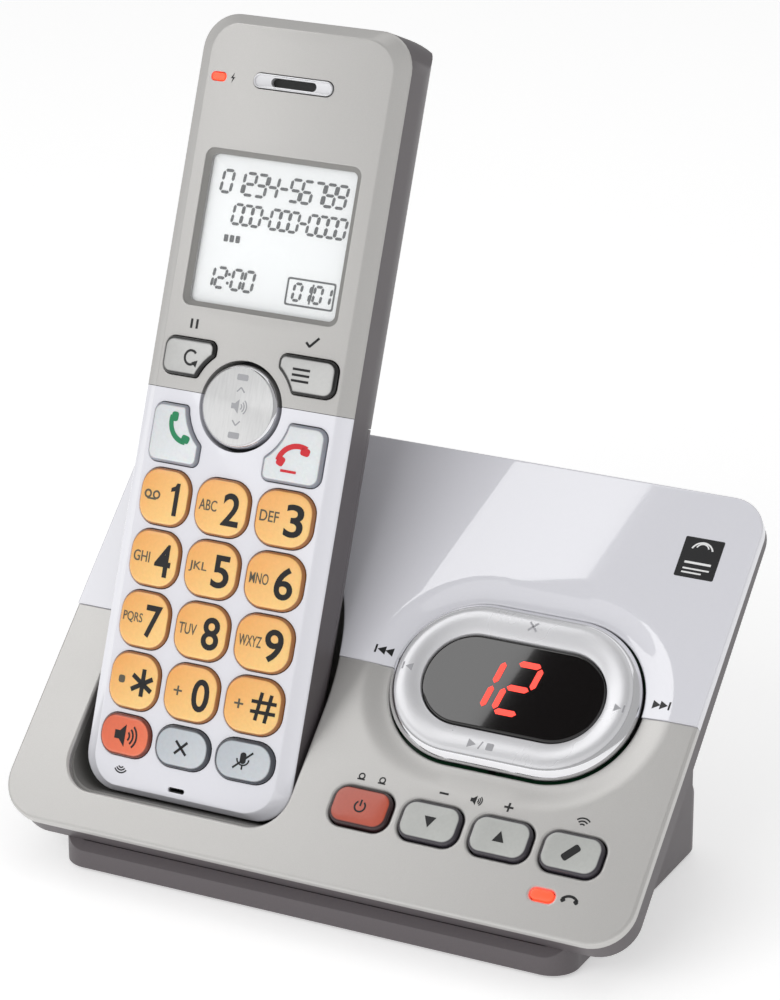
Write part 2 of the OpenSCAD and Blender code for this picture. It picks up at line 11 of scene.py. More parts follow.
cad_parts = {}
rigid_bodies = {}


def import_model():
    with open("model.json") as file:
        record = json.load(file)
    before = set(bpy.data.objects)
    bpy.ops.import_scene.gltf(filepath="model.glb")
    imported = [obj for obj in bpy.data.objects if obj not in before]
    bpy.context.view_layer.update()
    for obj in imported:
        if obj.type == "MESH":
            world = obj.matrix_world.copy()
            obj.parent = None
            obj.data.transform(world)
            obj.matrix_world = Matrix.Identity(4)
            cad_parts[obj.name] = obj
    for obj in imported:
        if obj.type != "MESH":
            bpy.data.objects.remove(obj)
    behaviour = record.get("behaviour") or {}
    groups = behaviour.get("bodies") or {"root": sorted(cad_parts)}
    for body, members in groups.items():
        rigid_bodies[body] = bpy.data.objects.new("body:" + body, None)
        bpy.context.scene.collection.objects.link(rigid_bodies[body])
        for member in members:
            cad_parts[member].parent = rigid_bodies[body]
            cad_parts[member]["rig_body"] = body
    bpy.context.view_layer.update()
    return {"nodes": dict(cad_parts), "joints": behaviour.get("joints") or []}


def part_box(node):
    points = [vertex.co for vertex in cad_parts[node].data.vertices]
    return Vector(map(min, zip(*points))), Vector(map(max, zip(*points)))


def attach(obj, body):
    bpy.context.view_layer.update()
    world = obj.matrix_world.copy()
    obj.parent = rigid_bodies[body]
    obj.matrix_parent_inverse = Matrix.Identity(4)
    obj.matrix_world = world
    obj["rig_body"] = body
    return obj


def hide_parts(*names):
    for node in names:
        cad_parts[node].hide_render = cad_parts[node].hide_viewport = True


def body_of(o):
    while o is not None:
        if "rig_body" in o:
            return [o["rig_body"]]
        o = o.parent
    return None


bl_info = {
    "name": "Cordless telephone",
    "version": (1, 0, 0),
    "blender": (4, 5, 0),
    "location": "View3D > Sidebar > Telephone",
    "description": "Builds the shells, keys, legends and finishes of a cordless telephone",
    "category": "Add Mesh",
}

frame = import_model()
MM = 0.001
FINE = 0.05          # height in mm of printed marks above what they are printed on


# ---------- the two working frames, in mm: one on the handset, one on the deck ----------

def joint_axis(name):
    """Direction of a joint of the packed model."""
    found = [joint for joint in frame["joints"] if joint["name"] == name]
    return Vector(found[0]["axis"]).normalized()


def reach(node, direction):
    """Lowest and highest place of a node along a direction, in mm."""
    points = np.array([v.co for v in frame["nodes"][node].data.vertices], float)
    along = points @ np.array(direction) / MM
    return float(along.min()), float(along.max())


def local_frame(up, out, x, y, z):
    """Matrix from mm across, up and out of a front to metres in the model."""
    across = Vector((1, 0, 0))
    origin = (across * x + up * y + out * z) * MM
    turned = Matrix((across, up, out)).transposed().to_4x4()
    return Matrix.Translation(origin) @ turned @ Matrix.Scale(MM, 4)


HS_UP = joint_axis("handset_lift")
HS_OUT = -joint_axis("key_5_press")
HS_LEFT, HS_RIGHT = reach("back_cover", Vector((1, 0, 0)))
HS_MID_X, HS_HALF = (HS_LEFT + HS_RIGHT) / 2, (HS_RIGHT - HS_LEFT) / 2
HANDSET = local_frame(
    HS_UP, HS_OUT, HS_MID_X, reach("front_cover", HS_UP)[0], reach("back_cover", HS_OUT)[1])
DECK_UP = joint_axis("ring_rock_left_right")
DECK_OUT = -joint_axis("answer_button_press")
DECK = local_frame(
    DECK_UP, DECK_OUT, 0, reach("deck_cover", DECK_UP)[0], reach("deck_cover", DECK_OUT)[1])


def local_box(node, matrix):
    """Box of a node in a working frame: (low x, y, z), (high x, y, z), in mm."""
    inverse = matrix.inverted()
    points = np.array([inverse @ v.co for v in frame["nodes"][node].data.vertices], float)
    return Vector(points.min(0)), Vector(points.max(0))


def local_middle(node, matrix):
    low, high = local_box(node, matrix)
    return (low + high) / 2


# ---------- sizes and colours ----------

def length(name, description, default_mm):
    return bpy.props.FloatProperty(
        name=name, description=description, default=default_mm * MM, unit="LENGTH", precision=5)


def colour(name, description, default):
    return bpy.props.FloatVectorProperty(
        name=name, description=description, default=default, size=3, subtype="COLOR", min=0, max=1)


WINDOW_LOW, WINDOW_HIGH = local_box("display_window", HANDSET)
RING_LOW, RING_HIGH = local_box("play_ring", DECK)
DECK_LOW, DECK_HIGH = local_box("deck_cover", DECK)
FRONT_TOP = local_box("front_cover", HANDSET)[1][2]
HS_LENGTH = local_box("display_bezel", HANDSET)[1][1]
HS_SPLIT = local_box("front_cover", HANDSET)[1][1] + 0.05
DECK_SPLIT = local_box("white_panel", DECK)[0][1] - 0.1


class TelephoneHandset(bpy.types.PropertyGroup):
    crown: length("Crown radius", "Radius of the crown across the front", 107)
    key_width: length("Key width", "Width of a number key", 12.7)
    key_height: length("Key height", "Height of a number key", 12.0)
    key_corner: length("Key corner", "Corner radius of a number key", 4.4)
    key_proud: length("Key height above front", "How far a key stands out of the front", 0.95)
    key_gap: length("Key gap", "Gap round a key", 0.17)
    rocker_radius: length("Rocker radius", "Radius of the volume rocker", 8.8)
    digit_height: length("Number height", "Height of the numbers on the keys", 6.9)
    letter_height: length("Letter height", "Height of the letters on the keys", 2.3)


class TelephoneBase(bpy.types.PropertyGroup):
    dish_depth: length("Dish depth", "Depth of the dish round the display ring", 0.9)
    dish_width: length("Dish width", "Width of the dish round the display ring", 6.5)
    panel_edge: length("Panel edge", "Rounding of the panels' edges", 0.45)
    button_width: length("Button width", "Width of a base button", 13.2)
    button_height: length("Button height", "Height of a base button", 8.6)
    digit_height: length("Counter height", "Height of the message counter's digits", 11.2)


class TelephoneColours(bpy.types.PropertyGroup):
    silver: colour("Silver", "Satin paint of the upper front and the deck", (0.56, 0.55, 0.535))
    white: colour("White", "Glossy white of the lower front and the panel", (0.78, 0.78, 0.83))
    shell: colour("Shell", "Dark shells", (0.105, 0.092, 0.098))
    amber: colour("Amber", "Middle of the number keys", (0.97, 0.62, 0.24))
    orange: colour("Orange", "Speaker key", (0.84, 0.20, 0.10))
    pale: colour("Pale", "Pale translucent keys", (0.60, 0.63, 0.66))
    red: colour("Red button", "Answer button", (0.50, 0.09, 0.05))
    light: colour("Lights", "Red lights and counter", (1.0, 0.07, 0.03))


def mm(value):
    return value / MM


# ---------- outlines ----------

def rounded(corners, steps=8):
    """Outline through corners (x, y, radius), anticlockwise, with its corners rounded."""
    points = []
    count = len(corners)
    for i, (x, y, radius) in enumerate(corners):
        here = Vector((x, y))
        if radius <= 0:
            points.append(here)
            continue
        back = (Vector(corners[i - 1][:2]) - here).normalized()
        ahead = (Vector(corners[(i + 1) % count][:2]) - here).normalized()
        half = back.angle(ahead) / 2
        middle = here + (back + ahead).normalized() * radius / math.sin(half)
        start = here + back * radius / math.tan(half) - middle
        end = here + ahead * radius / math.tan(half) - middle
        first = math.atan2(start.y, start.x)
        turn = (math.atan2(end.y, end.x) - first + math.pi) % (2 * math.pi) - math.pi
        for k in range(steps + 1):
            angle = first + turn * k / steps
            points.append(middle + radius * Vector((math.cos(angle), math.sin(angle))))
    return points


def box_outline(x, y, width, height, radius, steps=8):
    left, right, low, high = x - width / 2, x + width / 2, y - height / 2, y + height / 2
    return rounded([(left, low, radius), (right, low, radius), (right, high, radius),
        (left, high, radius)], steps)


def stadium(x, y, width, height, steps=20):
    return box_outline(x, y, width, height, height / 2 * 0.998, steps)


def circle(x, y, radius, count=96):
    turn = 2 * math.pi / count
    return [Vector((x + radius * math.cos(turn * i), y + radius * math.sin(turn * i)))
        for i in range(count)]


def offset(outline, distance):
    """The outline moved out by a distance, or in by a negative one."""
    moved = []
    count = len(outline)
    for i, here in enumerate(outline):
        before = (here - outline[i - 1]).normalized()
        after = (outline[(i + 1) % count] - here).normalized()
        normal_a = Vector((before.y, -before.x))
        normal_b = Vector((after.y, -after.x))
        moved.append(here + (normal_a + normal_b) * distance / max(0.3, 1 + normal_a.dot(normal_b)))
    return moved


def centre_of(outline):
    total = Vector((0, 0))
    for point in outline:
        total += point
    return total / len(outline)


def scaled(outline, factor):
    middle = centre_of(outline)
    return [middle + (point - middle) * factor for point in outline]


def mirrored(outline):
    return [Vector((-point.x, point.y)) for point in reversed(outline)]


def inside(points, outline):
    """Which of the points, an array of x and y, are inside the outline."""
    x, y = points[:, 0], points[:, 1]
    found = np.zeros(len(points), bool)
    corners = np.array([tuple(p) for p in outline])
    for (x0, y0), (x1, y1) in zip(corners, np.roll(corners, -1, 0)):
        if y0 == y1:
            continue
        crosses = (y0 > y) != (y1 > y)
        found ^= crosses & (x < (x1 - x0) * (y - y0) / (y1 - y0) + x0)
    return found


# ---------- meshes ----------

def true_normals(mesh, matrix):
    """Gives the broad face of a panel its exact normals, which its points carry as an attribute."""
    stored = mesh.attributes.get("broad_normal")
    if not stored:
        return
    turn = matrix.to_3x3()
    exact = [turn @ Vector(item.vector) for item in stored.data]
    normals = []
    for loop, corner in zip(mesh.loops, mesh.corner_normals):
        own = exact[loop.vertex_index]
        normals.append(own.normalized() if own.length > 1e-9 else Vector(corner.vector))
    mesh.attributes.remove(stored)
    mesh.normals_split_custom_set(normals)


def weigh_normals(piece):
    """Makes broad faces keep their own direction where they meet narrow rounded edges."""
    modifier = piece.modifiers.new("Weighted normals", "WEIGHTED_NORMAL")
    modifier.keep_sharp = True
    modifier.weight = 50
    graph = bpy.context.evaluated_depsgraph_get()
    mesh = bpy.data.meshes.new_from_object(piece.evaluated_get(graph))
    piece.modifiers.clear()
    old = piece.data
    piece.data = mesh
    bpy.data.meshes.remove(old)


def new_piece(name, bm, matrix, material, body, nodes=(), smooth=32, weigh=False):
    """Turns a bmesh in a working frame into a finished piece that rides on a body."""
    bmesh.ops.recalc_face_normals(bm, faces=bm.faces)
    if bm.calc_volume(signed=True) < 0:
        bmesh.ops.reverse_faces(bm, faces=bm.faces)
    mesh = bpy.data.meshes.new(name)
    bm.to_mesh(mesh)
    bm.free()
    mesh.transform(matrix)
    mesh.shade_smooth()
    mesh.set_sharp_from_angle(angle=math.radians(smooth))
    true_normals(mesh, matrix)
    mesh.materials.append(MATERIALS[material])
    piece = bpy.data.objects.new(name, mesh)
    bpy.context.scene.collection.objects.link(piece)
    if weigh:
        weigh_normals(piece)
    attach(piece, body)
    if nodes:
        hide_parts(*nodes)
    return piece


def add_rings(bm, rings, flush=None):
    """Adds a skin through rings of equal count, closed below by a face and above by a centre point.
    flush gives each ring's share of the way from the rim to the middle of a key."""
    layer = bm.verts.layers.float.get("middle") or bm.verts.layers.float.new("middle")
    made = []
    for number, ring in enumerate(rings):
        made.append([bm.verts.new(point) for point in ring])
        for vertex in made[-1]:
            vertex[layer] = flush[number] if flush else 0
    count = len(rings[0])
    for low, high in zip(made, made[1:]):
        for i in range(count):
            j = (i + 1) % count
            bm.faces.new((low[i], low[j], high[j], high[i]))
    bm.faces.new(list(reversed(made[0])))
    top = bm.verts.new(sum((v.co for v in made[-1]), Vector()) / count)
    top[layer] = flush[-1] if flush else 0
    for i in range(count):
        bm.faces.new((made[-1][i], made[-1][(i + 1) % count], top))


def lift(outline, height):
    """Outline at a height: a number, or a function of x and y."""
    if callable(height):
        return [Vector((p.x, p.y, height(p.x, p.y))) for p in outline]
    return [Vector((p.x, p.y, height)) for p in outline]


def grid_points(loops, spacing, margin):
    """Grid points inside the first loop and outside the others."""
    outer = np.array([tuple(p) for p in loops[0]])
    low, high = outer.min(0), outer.max(0)
    xs = np.arange(low[0] + spacing / 2, high[0], spacing)
    ys = np.arange(low[1] + spacing / 2, high[1], spacing)
    points = np.array([(x, y) for x in xs for y in ys])
    keep = inside(points, offset(loops[0], -margin))
    for loop in loops[1:]:
        keep &= ~inside(points, offset(loop, margin))
    return points[keep]


def fill(loops, extra):
    """Triangles between the outer loop and the holes, through extra points.
    Returns points, triangles, and for each loop the numbers of its points."""
    points = [Vector(p) for loop in loops for p in loop] + [Vector(p) for p in extra]
    edges = []
    start = 0
    for loop in loops:
        count = len(loop)
        edges += [(start + i, start + (i + 1) % count) for i in range(count)]
        start += count
    placed, _, triangles, origins, _, _ = delaunay_2d_cdt(points, edges, [], 0, 1e-5)
    corners = np.array([tuple(p) for p in placed])
    middles = corners[np.array(triangles)].mean(1)
    keep = inside(middles, loops[0])
    for loop in loops[1:]:
        keep &= ~inside(middles, loop)
    triangles = [triangle for triangle, kept in zip(triangles, keep) if kept]
    number = {old: new for new, olds in enumerate(origins) for old in olds}
    groups = []
    start = 0
    for loop in loops:
        groups.append([number[start + i] for i in range(len(loop))])
        start += len(loop)
    return placed, triangles, groups


def plate(outer, holes, top, under, edge, spacing, rim=None, extra=(), support=0.12):
    """A moulded panel as a bmesh. top and under give its two surfaces, edge rounds its outline
    and holes, and rim, a list of (outline, height), replaces the outer rounding."""
    bm = bmesh.new()
    arc = [math.radians(a) for a in (0, 18, 36, 54, 72, 90)]
    inset = -(edge + support)
    outer_in = outer if rim else offset(outer, inset)
    hole_in = [offset(hole, -inset) for hole in holes]
    loops = [outer_in] + hole_in
    grid = grid_points(loops, spacing, spacing * 0.35)
    near = [p for p in extra if inside(np.array([p]), offset(outer_in, -0.3))[0]
            and not any(inside(np.array([p]), offset(h, 0.3))[0] for h in hole_in)]
    placed, triangles, groups = fill(loops, list(grid) + near)
    layer = bm.verts.layers.float_vector.new("broad_normal")
    upper = []
    for p in placed:
        upper.append(bm.verts.new((p.x, p.y, top(p.x, p.y))))
        slope = Vector((top(p.x + 0.05, p.y) - top(p.x - 0.05, p.y),
            top(p.x, p.y + 0.05) - top(p.x, p.y - 0.05))) / 0.1
        upper[-1][layer] = Vector((-slope.x, -slope.y, 1)).normalized()
    for triangle in triangles:
        bm.faces.new([upper[i] for i in triangle])

    def skin(first, rings):
        """Joins a loop of vertices to the next outlines, and returns the last loop."""
        last = first
        for ring in rings:
            new = [bm.verts.new(point) for point in ring]
            for i in range(len(new)):
                j = (i + 1) % len(new)
                bm.faces.new((last[i], last[j], new[j], new[i]))
            last = new
        return last

    lows = []
    for index, (outline, group) in enumerate(zip([outer] + holes, groups)):
        first = [upper[i] for i in group]
        sign = 1 if index == 0 else -1
        if index == 0 and rim:
            rings = [lift(o, h) for o, h in rim]
        else:
            rings = []
            for a in arc:
                moved = offset(outline, sign * edge * (math.sin(a) - 1))
                base = lift(offset(outline, -sign * edge), top)
                rings.append([Vector((m.x, m.y, b.z - edge * (1 - math.cos(a)))) for m,
                    b in zip(moved, base)])
        bottom = rim[-1][0] if index == 0 and rim else outline
        rings.append(lift(bottom, under))
        lows.append((bottom, skin(first, rings)))
    placed, triangles, groups = fill([low[0] for low in lows], [])
    known = {}
    for (_, vertices), group in zip(lows, groups):
        for vertex, i in zip(vertices, group):
            known[i] = vertex
    for i, p in enumerate(placed):
        if i not in known:
            known[i] = bm.verts.new((p.x, p.y, under(p.x, p.y) if callable(under) else under))
    for triangle in triangles:
        bm.faces.new([known[i] for i in reversed(triangle)])
    return bm


def half_of(bm, point, direction):
    """Keeps the part of a closed bmesh behind a plane, and closes the cut."""
    cut = bmesh.ops.bisect_plane(
        bm, geom=bm.verts[:] + bm.edges[:] + bm.faces[:], dist=1e-6,
        plane_co=point, plane_no=direction, clear_outer=True)
    edges = [g for g in cut["geom_cut"] if isinstance(g, bmesh.types.BMEdge)]
    bmesh.ops.holes_fill(bm, edges=edges, sides=0)


# ---------- shapes of this telephone ----------

def crown_height(x):
    radius = mm(bpy.context.scene.telephone_handset.crown)
    return FRONT_TOP - radius + math.sqrt(radius * radius - x * x)


KEY_LABELS = ["1", "2", "3", "4", "5", "6", "7", "8", "9", "star", "0", "hash"]
KEY_LETTERS = ["", "ABC", "DEF", "GHI", "JKL", "MNO", "PQRS", "TUV", "WXYZ", "", "", ""]
ROCKER = local_middle("volume_rocker", HANDSET)


def side_key(side, upper):
    """Outline of a key beside the rocker, hollowed round it. side is -1 left or 1 right."""
    left, right = 7.55, 20.45
    bottom, top = (88.8, 96.8) if upper else (70.2, 82.7)
    near, sign = (bottom, 1) if upper else (top, -1)
    round_rocker = 12.1
    middle = ROCKER[1]
    arc_y = middle + sign * math.sqrt(round_rocker ** 2 - left ** 2)
    arc_x = math.sqrt(round_rocker ** 2 - (near - middle) ** 2)
    first = math.atan2(arc_y - middle, left)
    last = math.atan2(near - middle, arc_x)
    between = []
    for k in range(1, 5):
        angle = first + (last - first) * k / 5
        between.append((round_rocker * math.cos(angle), middle + round_rocker * math.sin(angle), 0))
    corner, small = 2.3, 0.9
    if upper:
        corners = [(left, arc_y, small)] + between + [
            (arc_x, bottom, small), (right, bottom, corner), (right, top, corner), (left, top, 1.6)]
    else:
        corners = [(left, bottom, 1.6), (right, bottom, corner), (right, top, corner), (arc_x, top, small)]
        corners += list(reversed(between)) + [(left, arc_y, small)]
    outline = rounded(corners, 6)
    return mirrored(outline) if side < 0 else outline


def key_places():
    """(node, outline, kind) of every handset key."""
    sizes = bpy.context.scene.telephone_handset
    found = []
    for label in KEY_LABELS:
        x, y, _ = local_middle("key_" + label, HANDSET)
        outline = box_outline(x, y, mm(sizes.key_width), mm(sizes.key_height), mm(sizes.key_corner))
        found.append(("key_" + label, outline, "amber"))
    for node, kind in (("speaker_key", "orange"), ("delete_key", "pale"), ("mute_key", "pale")):
        x, y, _ = local_middle(node, HANDSET)
        found.append((node, box_outline(x, y, 12.9, 8.8, 4.0), kind))
    found.append(("talk_key", side_key(-1, False), "clear"))
    found.append(("off_key", side_key(1, False), "clear"))
    found.append(("redial_key", side_key(-1, True), "smoke"))
    found.append(("menu_key", side_key(1, True), "smoke"))
    return found


def cradle_mouth(height, count=40):
    """Right-hand half of the cradle's outline in the deck's plane at a height, from front to rear.
    Each point is where the handset's pocket, drawn in the handset's frame, meets that plane."""
    to_deck = DECK.inverted() @ HANDSET
    origin = to_deck @ Vector((0, 0, 0))
    up = to_deck.to_3x3() @ Vector((0, 1, 0))
    out = to_deck.to_3x3() @ Vector((0, 0, 1))
    floor, front, rear, half, corner, back_corner = -0.5, FRONT_TOP + 2.1, -20.3, 26.2, 7.5, 14.0
    front = min(front, (height - origin.z - floor * up.z) / out.z)
    points = []
    for k in range(count + 1):
        share = k / count
        z = front + (rear - front) * (1 - math.cos(math.pi * share)) / 2
        y = (height - origin.z - z * out.z) / up.z
        wide = half
        if y < floor + corner:
            wide = half - corner + math.sqrt(max(0, corner ** 2 - (floor + corner - y) ** 2))
        if z < rear + back_corner:
            deep = rear + back_corner - z
            wide = min(wide, half - back_corner + math.sqrt(max(0, back_corner ** 2 - deep ** 2)))
        place = origin + up * y + out * z
        points.append((wide, place.y))
    return points


CRADLE_X = HS_MID_X - 0.8
RING_MIDDLE = (RING_LOW + RING_HIGH) / 2
RING_SIZE = RING_HIGH - RING_LOW


# ---------- caps: keys, buttons and other small pillow-shaped pieces ----------

def cap(name, outline, top, depth, edge, material, matrix, body, nodes, dome=0.1):
    """A key or button: walls, a rounded edge and a slightly domed top, closed below."""
    bm = bmesh.new()
    rings, middle = [], []
    rings.append([p - Vector((0, 0, depth)) for p in lift(outline, top)])
    middle.append(0)
    insets = [edge * share for share in (0, 0.06, 0.2, 0.4, 0.65, 1.0)]
    for inset in insets:
        drop = edge - math.sqrt(max(0, edge ** 2 - (edge - inset) ** 2))
        ring = lift(offset(outline, -inset), top)
        rings.append([p - Vector((0, 0, drop + dome * (1 - 0.4 * inset / edge))) for p in ring])
        middle.append(0.4 * inset / edge)
    inner = offset(outline, -edge)
    for factor, value in ((0.93, 0.55), (0.84, 0.7), (0.66, 0.86), (0.36, 1.0)):
        ring = lift(scaled(inner, factor), top)
        rings.append([p - Vector((0, 0, dome * (1 - value))) for p in ring])
        middle.append(value)
    add_rings(bm, rings, flush=middle)
    # slant runs from a cap's upper left to its lower right; the key colour uses it to paint shade on the
    # upper left side
    slant = bm.verts.layers.float.new("slant")
    centre = centre_of(outline)
    wide = max(p.x for p in outline) - centre.x
    for vertex in bm.verts:
        vertex[slant] = ((vertex.co.x - centre.x) - (vertex.co.y - centre.y)) / wide / 2
    return new_piece(name, bm, matrix, material, body, nodes, smooth=50)


def tube(bm, rings):
    """Adds a closed ring-shaped skin: the last outline joins back to the first."""
    made = [[bm.verts.new(point) for point in ring] for ring in rings]
    count = len(rings[0])
    for low, high in zip(made, made[1:] + made[:1]):
        for i in range(count):
            j = (i + 1) % count
            bm.faces.new((low[i], low[j], high[j], high[i]))


def frame_ring(name, outlines, matrix, material, body, nodes=(), smooth=40):
    """A ring through (outline, height) pairs."""
    bm = bmesh.new()
    tube(bm, [lift(outline, height) for outline, height in outlines])
    return new_piece(name, bm, matrix, material, body, nodes, smooth)


# ---------- printed marks ----------

def add_shape(bm, outline):
    """Adds a flat shape as a closed prism from height 0 to 1."""
    low = [bm.verts.new((p.x, p.y, 0)) for p in outline]
    high = [bm.verts.new((p.x, p.y, 1)) for p in outline]
    for corners in tessellate_polygon([[p.to_3d() for p in outline]]):
        bm.faces.new([low[i] for i in corners])
        bm.faces.new([high[i] for i in reversed(corners)])
    for i in range(len(outline)):
        j = (i + 1) % len(outline)
        bm.faces.new((low[i], low[j], high[j], high[i]))


def add_text(bm, words, x, y, height, bold=0.0, width=None):
    """Adds text centred at x, y, scaled to a height, as closed prisms from height 0 to 1."""
    curve = bpy.data.curves.new("words", "FONT")
    curve.body = words
    curve.size = 10
    curve.offset = bold
    curve.extrude = 0.5
    curve.resolution_u = 5
    holder = bpy.data.objects.new("words", curve)
    bpy.context.scene.collection.objects.link(holder)
    graph = bpy.context.evaluated_depsgraph_get()
    mesh = bpy.data.meshes.new_from_object(holder.evaluated_get(graph))
    points = np.array([v.co for v in mesh.vertices])
    low, high = points.min(0), points.max(0)
    factor = height / (high[1] - low[1])
    factor_x = width / (high[0] - low[0]) if width else factor
    middle = (low + high) / 2
    mesh.transform(
        Matrix.Translation((x, y, 0.5)) @ Matrix.Diagonal((factor_x, factor, 1, 1))
        @ Matrix.Translation((-middle[0], -middle[1], 0)))
    text = bmesh.new()
    text.from_mesh(mesh)
    bmesh.ops.remove_doubles(text, verts=text.verts, dist=1e-5)
    text.to_mesh(mesh)
    text.free()
    bm.from_mesh(mesh)
    bpy.data.objects.remove(holder)
    bpy.data.curves.remove(curve)
    bpy.data.meshes.remove(mesh)


def line(x0, y0, x1, y1, width):
    """Outline of a straight stroke."""
    start, end = Vector((x0, y0)), Vector((x1, y1))
    along = (end - start).normalized()
    side = Vector((-along.y, along.x)) * width / 2
    return [start - side, end - side, end + side, start + side]


def arc_band(x, y, radius, width, first, last, count=18):
    """Outline of a round stroke between two angles in degrees."""
    angles = [math.radians(first + (last - first) * k / count) for k in range(count + 1)]
    outer, inner = [
        [Vector((x + r * math.cos(a), y + r * math.sin(a))) for a in angles]
        for r in (radius + width / 2, radius - width / 2)]
    return outer + list(reversed(inner))


def turned(outline, x, y, degrees):
    angle = math.radians(degrees)
    centre = Vector((x, y))
    spin = Matrix.Rotation(angle, 2)
    return [centre + spin @ (p - centre) for p in outline]


def moved(points, x, y, size):
    return [Vector((x + px * size, y + py * size)) for px, py in points]


def triangle(x, y, size, degrees):
    return turned(moved([(-0.5, -0.42), (0.5, -0.42), (0, 0.5)], x, y, size), x, y, degrees)


def handset_icon(x, y, size, degrees):
    """Outline strokes of a telephone handset."""
    shapes = [arc_band(x, y - size * 0.55, size * 0.75, size * 0.20, 38, 142, 16)]
    for side in (-1, 1):
        shapes.append(turned(
            box_outline(x + side * size * 0.50, y - size * 0.16, size * 0.36, size * 0.30, size * 0.1, 3),
            x + side * size * 0.50, y - size * 0.16, -side * 38))
    return [turned(shape, x, y, degrees) for shape in shapes]


def speaker_icon(x, y, size):
    shapes = [moved([(-0.5, -0.16), (-0.28, -0.16), (-0.02, -0.42), (-0.02, 0.42), (-0.28, 0.16),
        (-0.5, 0.16)], x, y, size)]
    for radius in (0.2, 0.36, 0.52):
        shapes.append(arc_band(x - size * 0.02, y, size * radius, size * 0.075, -48, 48, 10))
    return shapes


def power_icon(x, y, size):
    return [arc_band(x, y, size * 0.4, size * 0.13, 125, 415, 24),
        line(x, y + size * 0.02, x, y + size * 0.52, size * 0.13)]


def cross_icon(x, y, size, width):
    half = size / 2
    return [line(x - half, y - half, x + half, y + half, width),
        line(x - half, y + half, x + half, y - half, width)]


SEGMENTS = {
    "0": "abcdef", "1": "bc", "2": "abged", "3": "abgcd", "4": "fgbc", "5": "afgcd",
    "6": "afgedc", "7": "abc", "8": "abcdefg", "9": "abcfgd", "-": "g"}


def segment_shapes(text, x, y, height, stroke=0.13, slant=0.10, pitch=0.72):
    """Seven-segment figures, the first one's lower left corner at x, y."""
    wide, half, gap = height * 0.5, height / 2, height * 0.02
    thick = height * stroke
    ends = {
        "a": ((0, 2), (1, 2)), "b": ((1, 2), (1, 1)), "c": ((1, 1), (1, 0)), "d": ((0, 0), (1, 0)),
        "e": ((0, 1), (0, 0)), "f": ((0, 2), (0, 1)), "g": ((0, 1), (1, 1))}
    shapes = []
    for letter in text:
        if letter == ":":
            for level in (0.28, 0.72):
                shapes.append(box_outline(x + slant * level * height, y + level * height, thick, thick,
                    thick * 0.3, 2))
            x += height * 0.22
            continue
        for name in SEGMENTS.get(letter, ""):
            (ax, ay), (bx, by) = ends[name]
            start = Vector((ax * wide, ay * half))
            end = Vector((bx * wide, by * half))
            along = (end - start).normalized()
            side = Vector((-along.y, along.x)) * thick / 2
            start += along * (gap + thick * 0.1)
            end -= along * (gap + thick * 0.1)
            tip = along * thick / 2
            points = [start, start + tip - side, end - tip - side, end, end - tip + side,
                start + tip + side]
            shapes.append([Vector((x + p.x + slant * p.y, y + p.y)) for p in points])
        x += height * pitch
    return shapes


def ink(name, shapes, height, matrix, material, body, words=(), step=(1.0, None), thick=FINE):
    """Prints outlines and words on a surface given by its height: thin, closed, raised shapes."""
    bm = bmesh.new()
    for shape in shapes:
        add_shape(bm, shape)
    for word in words:
        add_text(bm, *word)
    if not bm.verts:
        raise RuntimeError("nothing to print for " + name)
    for axis, spacing in enumerate(step):
        if not spacing:
            continue
        values = [v.co[axis] for v in bm.verts]
        normal = Vector((1, 0, 0)) if axis == 0 else Vector((0, 1, 0))
        for k in range(math.ceil(min(values) / spacing), math.floor(max(values) / spacing) + 1):
            bmesh.ops.bisect_plane(
                bm, geom=bm.verts[:] + bm.edges[:] + bm.faces[:], dist=1e-4,
                plane_co=normal * (k * spacing), plane_no=normal)
    bmesh.ops.triangulate(bm, faces=bm.faces)
    for v in bm.verts:
        base = height(v.co.x, v.co.y) if callable(height) else height
        v.co.z = base + (thick if v.co.z > 0.5 else -0.12)
    return new_piece(name, bm, matrix, material, body, smooth=60)


# ---------- carried-over shells with softened edges ----------

def soften(node, name, width, material, angle=28, segments=2):
    """A finished copy of a part with its sharp edges rounded."""
    bm = bmesh.new()
    bm.from_mesh(frame["nodes"][node].data)
    bmesh.ops.remove_doubles(bm, verts=bm.verts, dist=2e-6)
    plain = bm.copy()
    bmesh.ops.dissolve_limit(
        bm, angle_limit=math.radians(1.5), verts=bm.verts, edges=bm.edges, use_dissolve_boundaries=False)
    sharp = [e for e in bm.edges if len(e.link_faces) == 2
             and e.calc_face_angle(0) > math.radians(angle) and e.calc_length() > 0.3 * width * MM]
    bmesh.ops.bevel(
        bm, geom=sharp, offset=width * MM, offset_type="OFFSET", segments=segments, profile=0.5,
        affect="EDGES", clamp_overlap=True)
    bmesh.ops.triangulate(bm, faces=bm.faces)
    bmesh.ops.remove_doubles(bm, verts=bm.verts, dist=1e-7)
    low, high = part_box(node)
    margin = 1e-5
    within = all(low[i] - margin <= v.co[i] <= high[i] + margin for v in bm.verts for i in range(3))
    if not within or any(len(e.link_faces) != 2 for e in bm.edges):
        bm.free()
        bm = plain
    else:
        plain.free()
    body = body_of(frame["nodes"][node])[0]
    return new_piece(name, bm, Matrix.Identity(4), material, body, (node,), smooth=30, weigh=True)


# ---------- shader groups ----------

def shader_group(name, inputs, outputs):
    """An empty node group with named sockets: inputs (name, kind, value), outputs (name, kind)."""
    group = bpy.data.node_groups.new(name, "ShaderNodeTree")
    for label, kind, value in inputs:
        socket = group.interface.new_socket(name=label, in_out="INPUT", socket_type=kind)
        socket.default_value = value
    for label, kind in outputs:
        group.interface.new_socket(name=label, in_out="OUTPUT", socket_type=kind)
    return group, group.nodes.new("NodeGroupInput"), group.nodes.new("NodeGroupOutput")


def add_node(tree, kind, inputs=None, **settings):
    """A new node with its settings and the values of its inputs."""
    node = tree.nodes.new(kind)
    for label, value in settings.items():
        setattr(node, label, value)
    for label, value in (inputs or {}).items():
        node.inputs[label].default_value = value
    return node


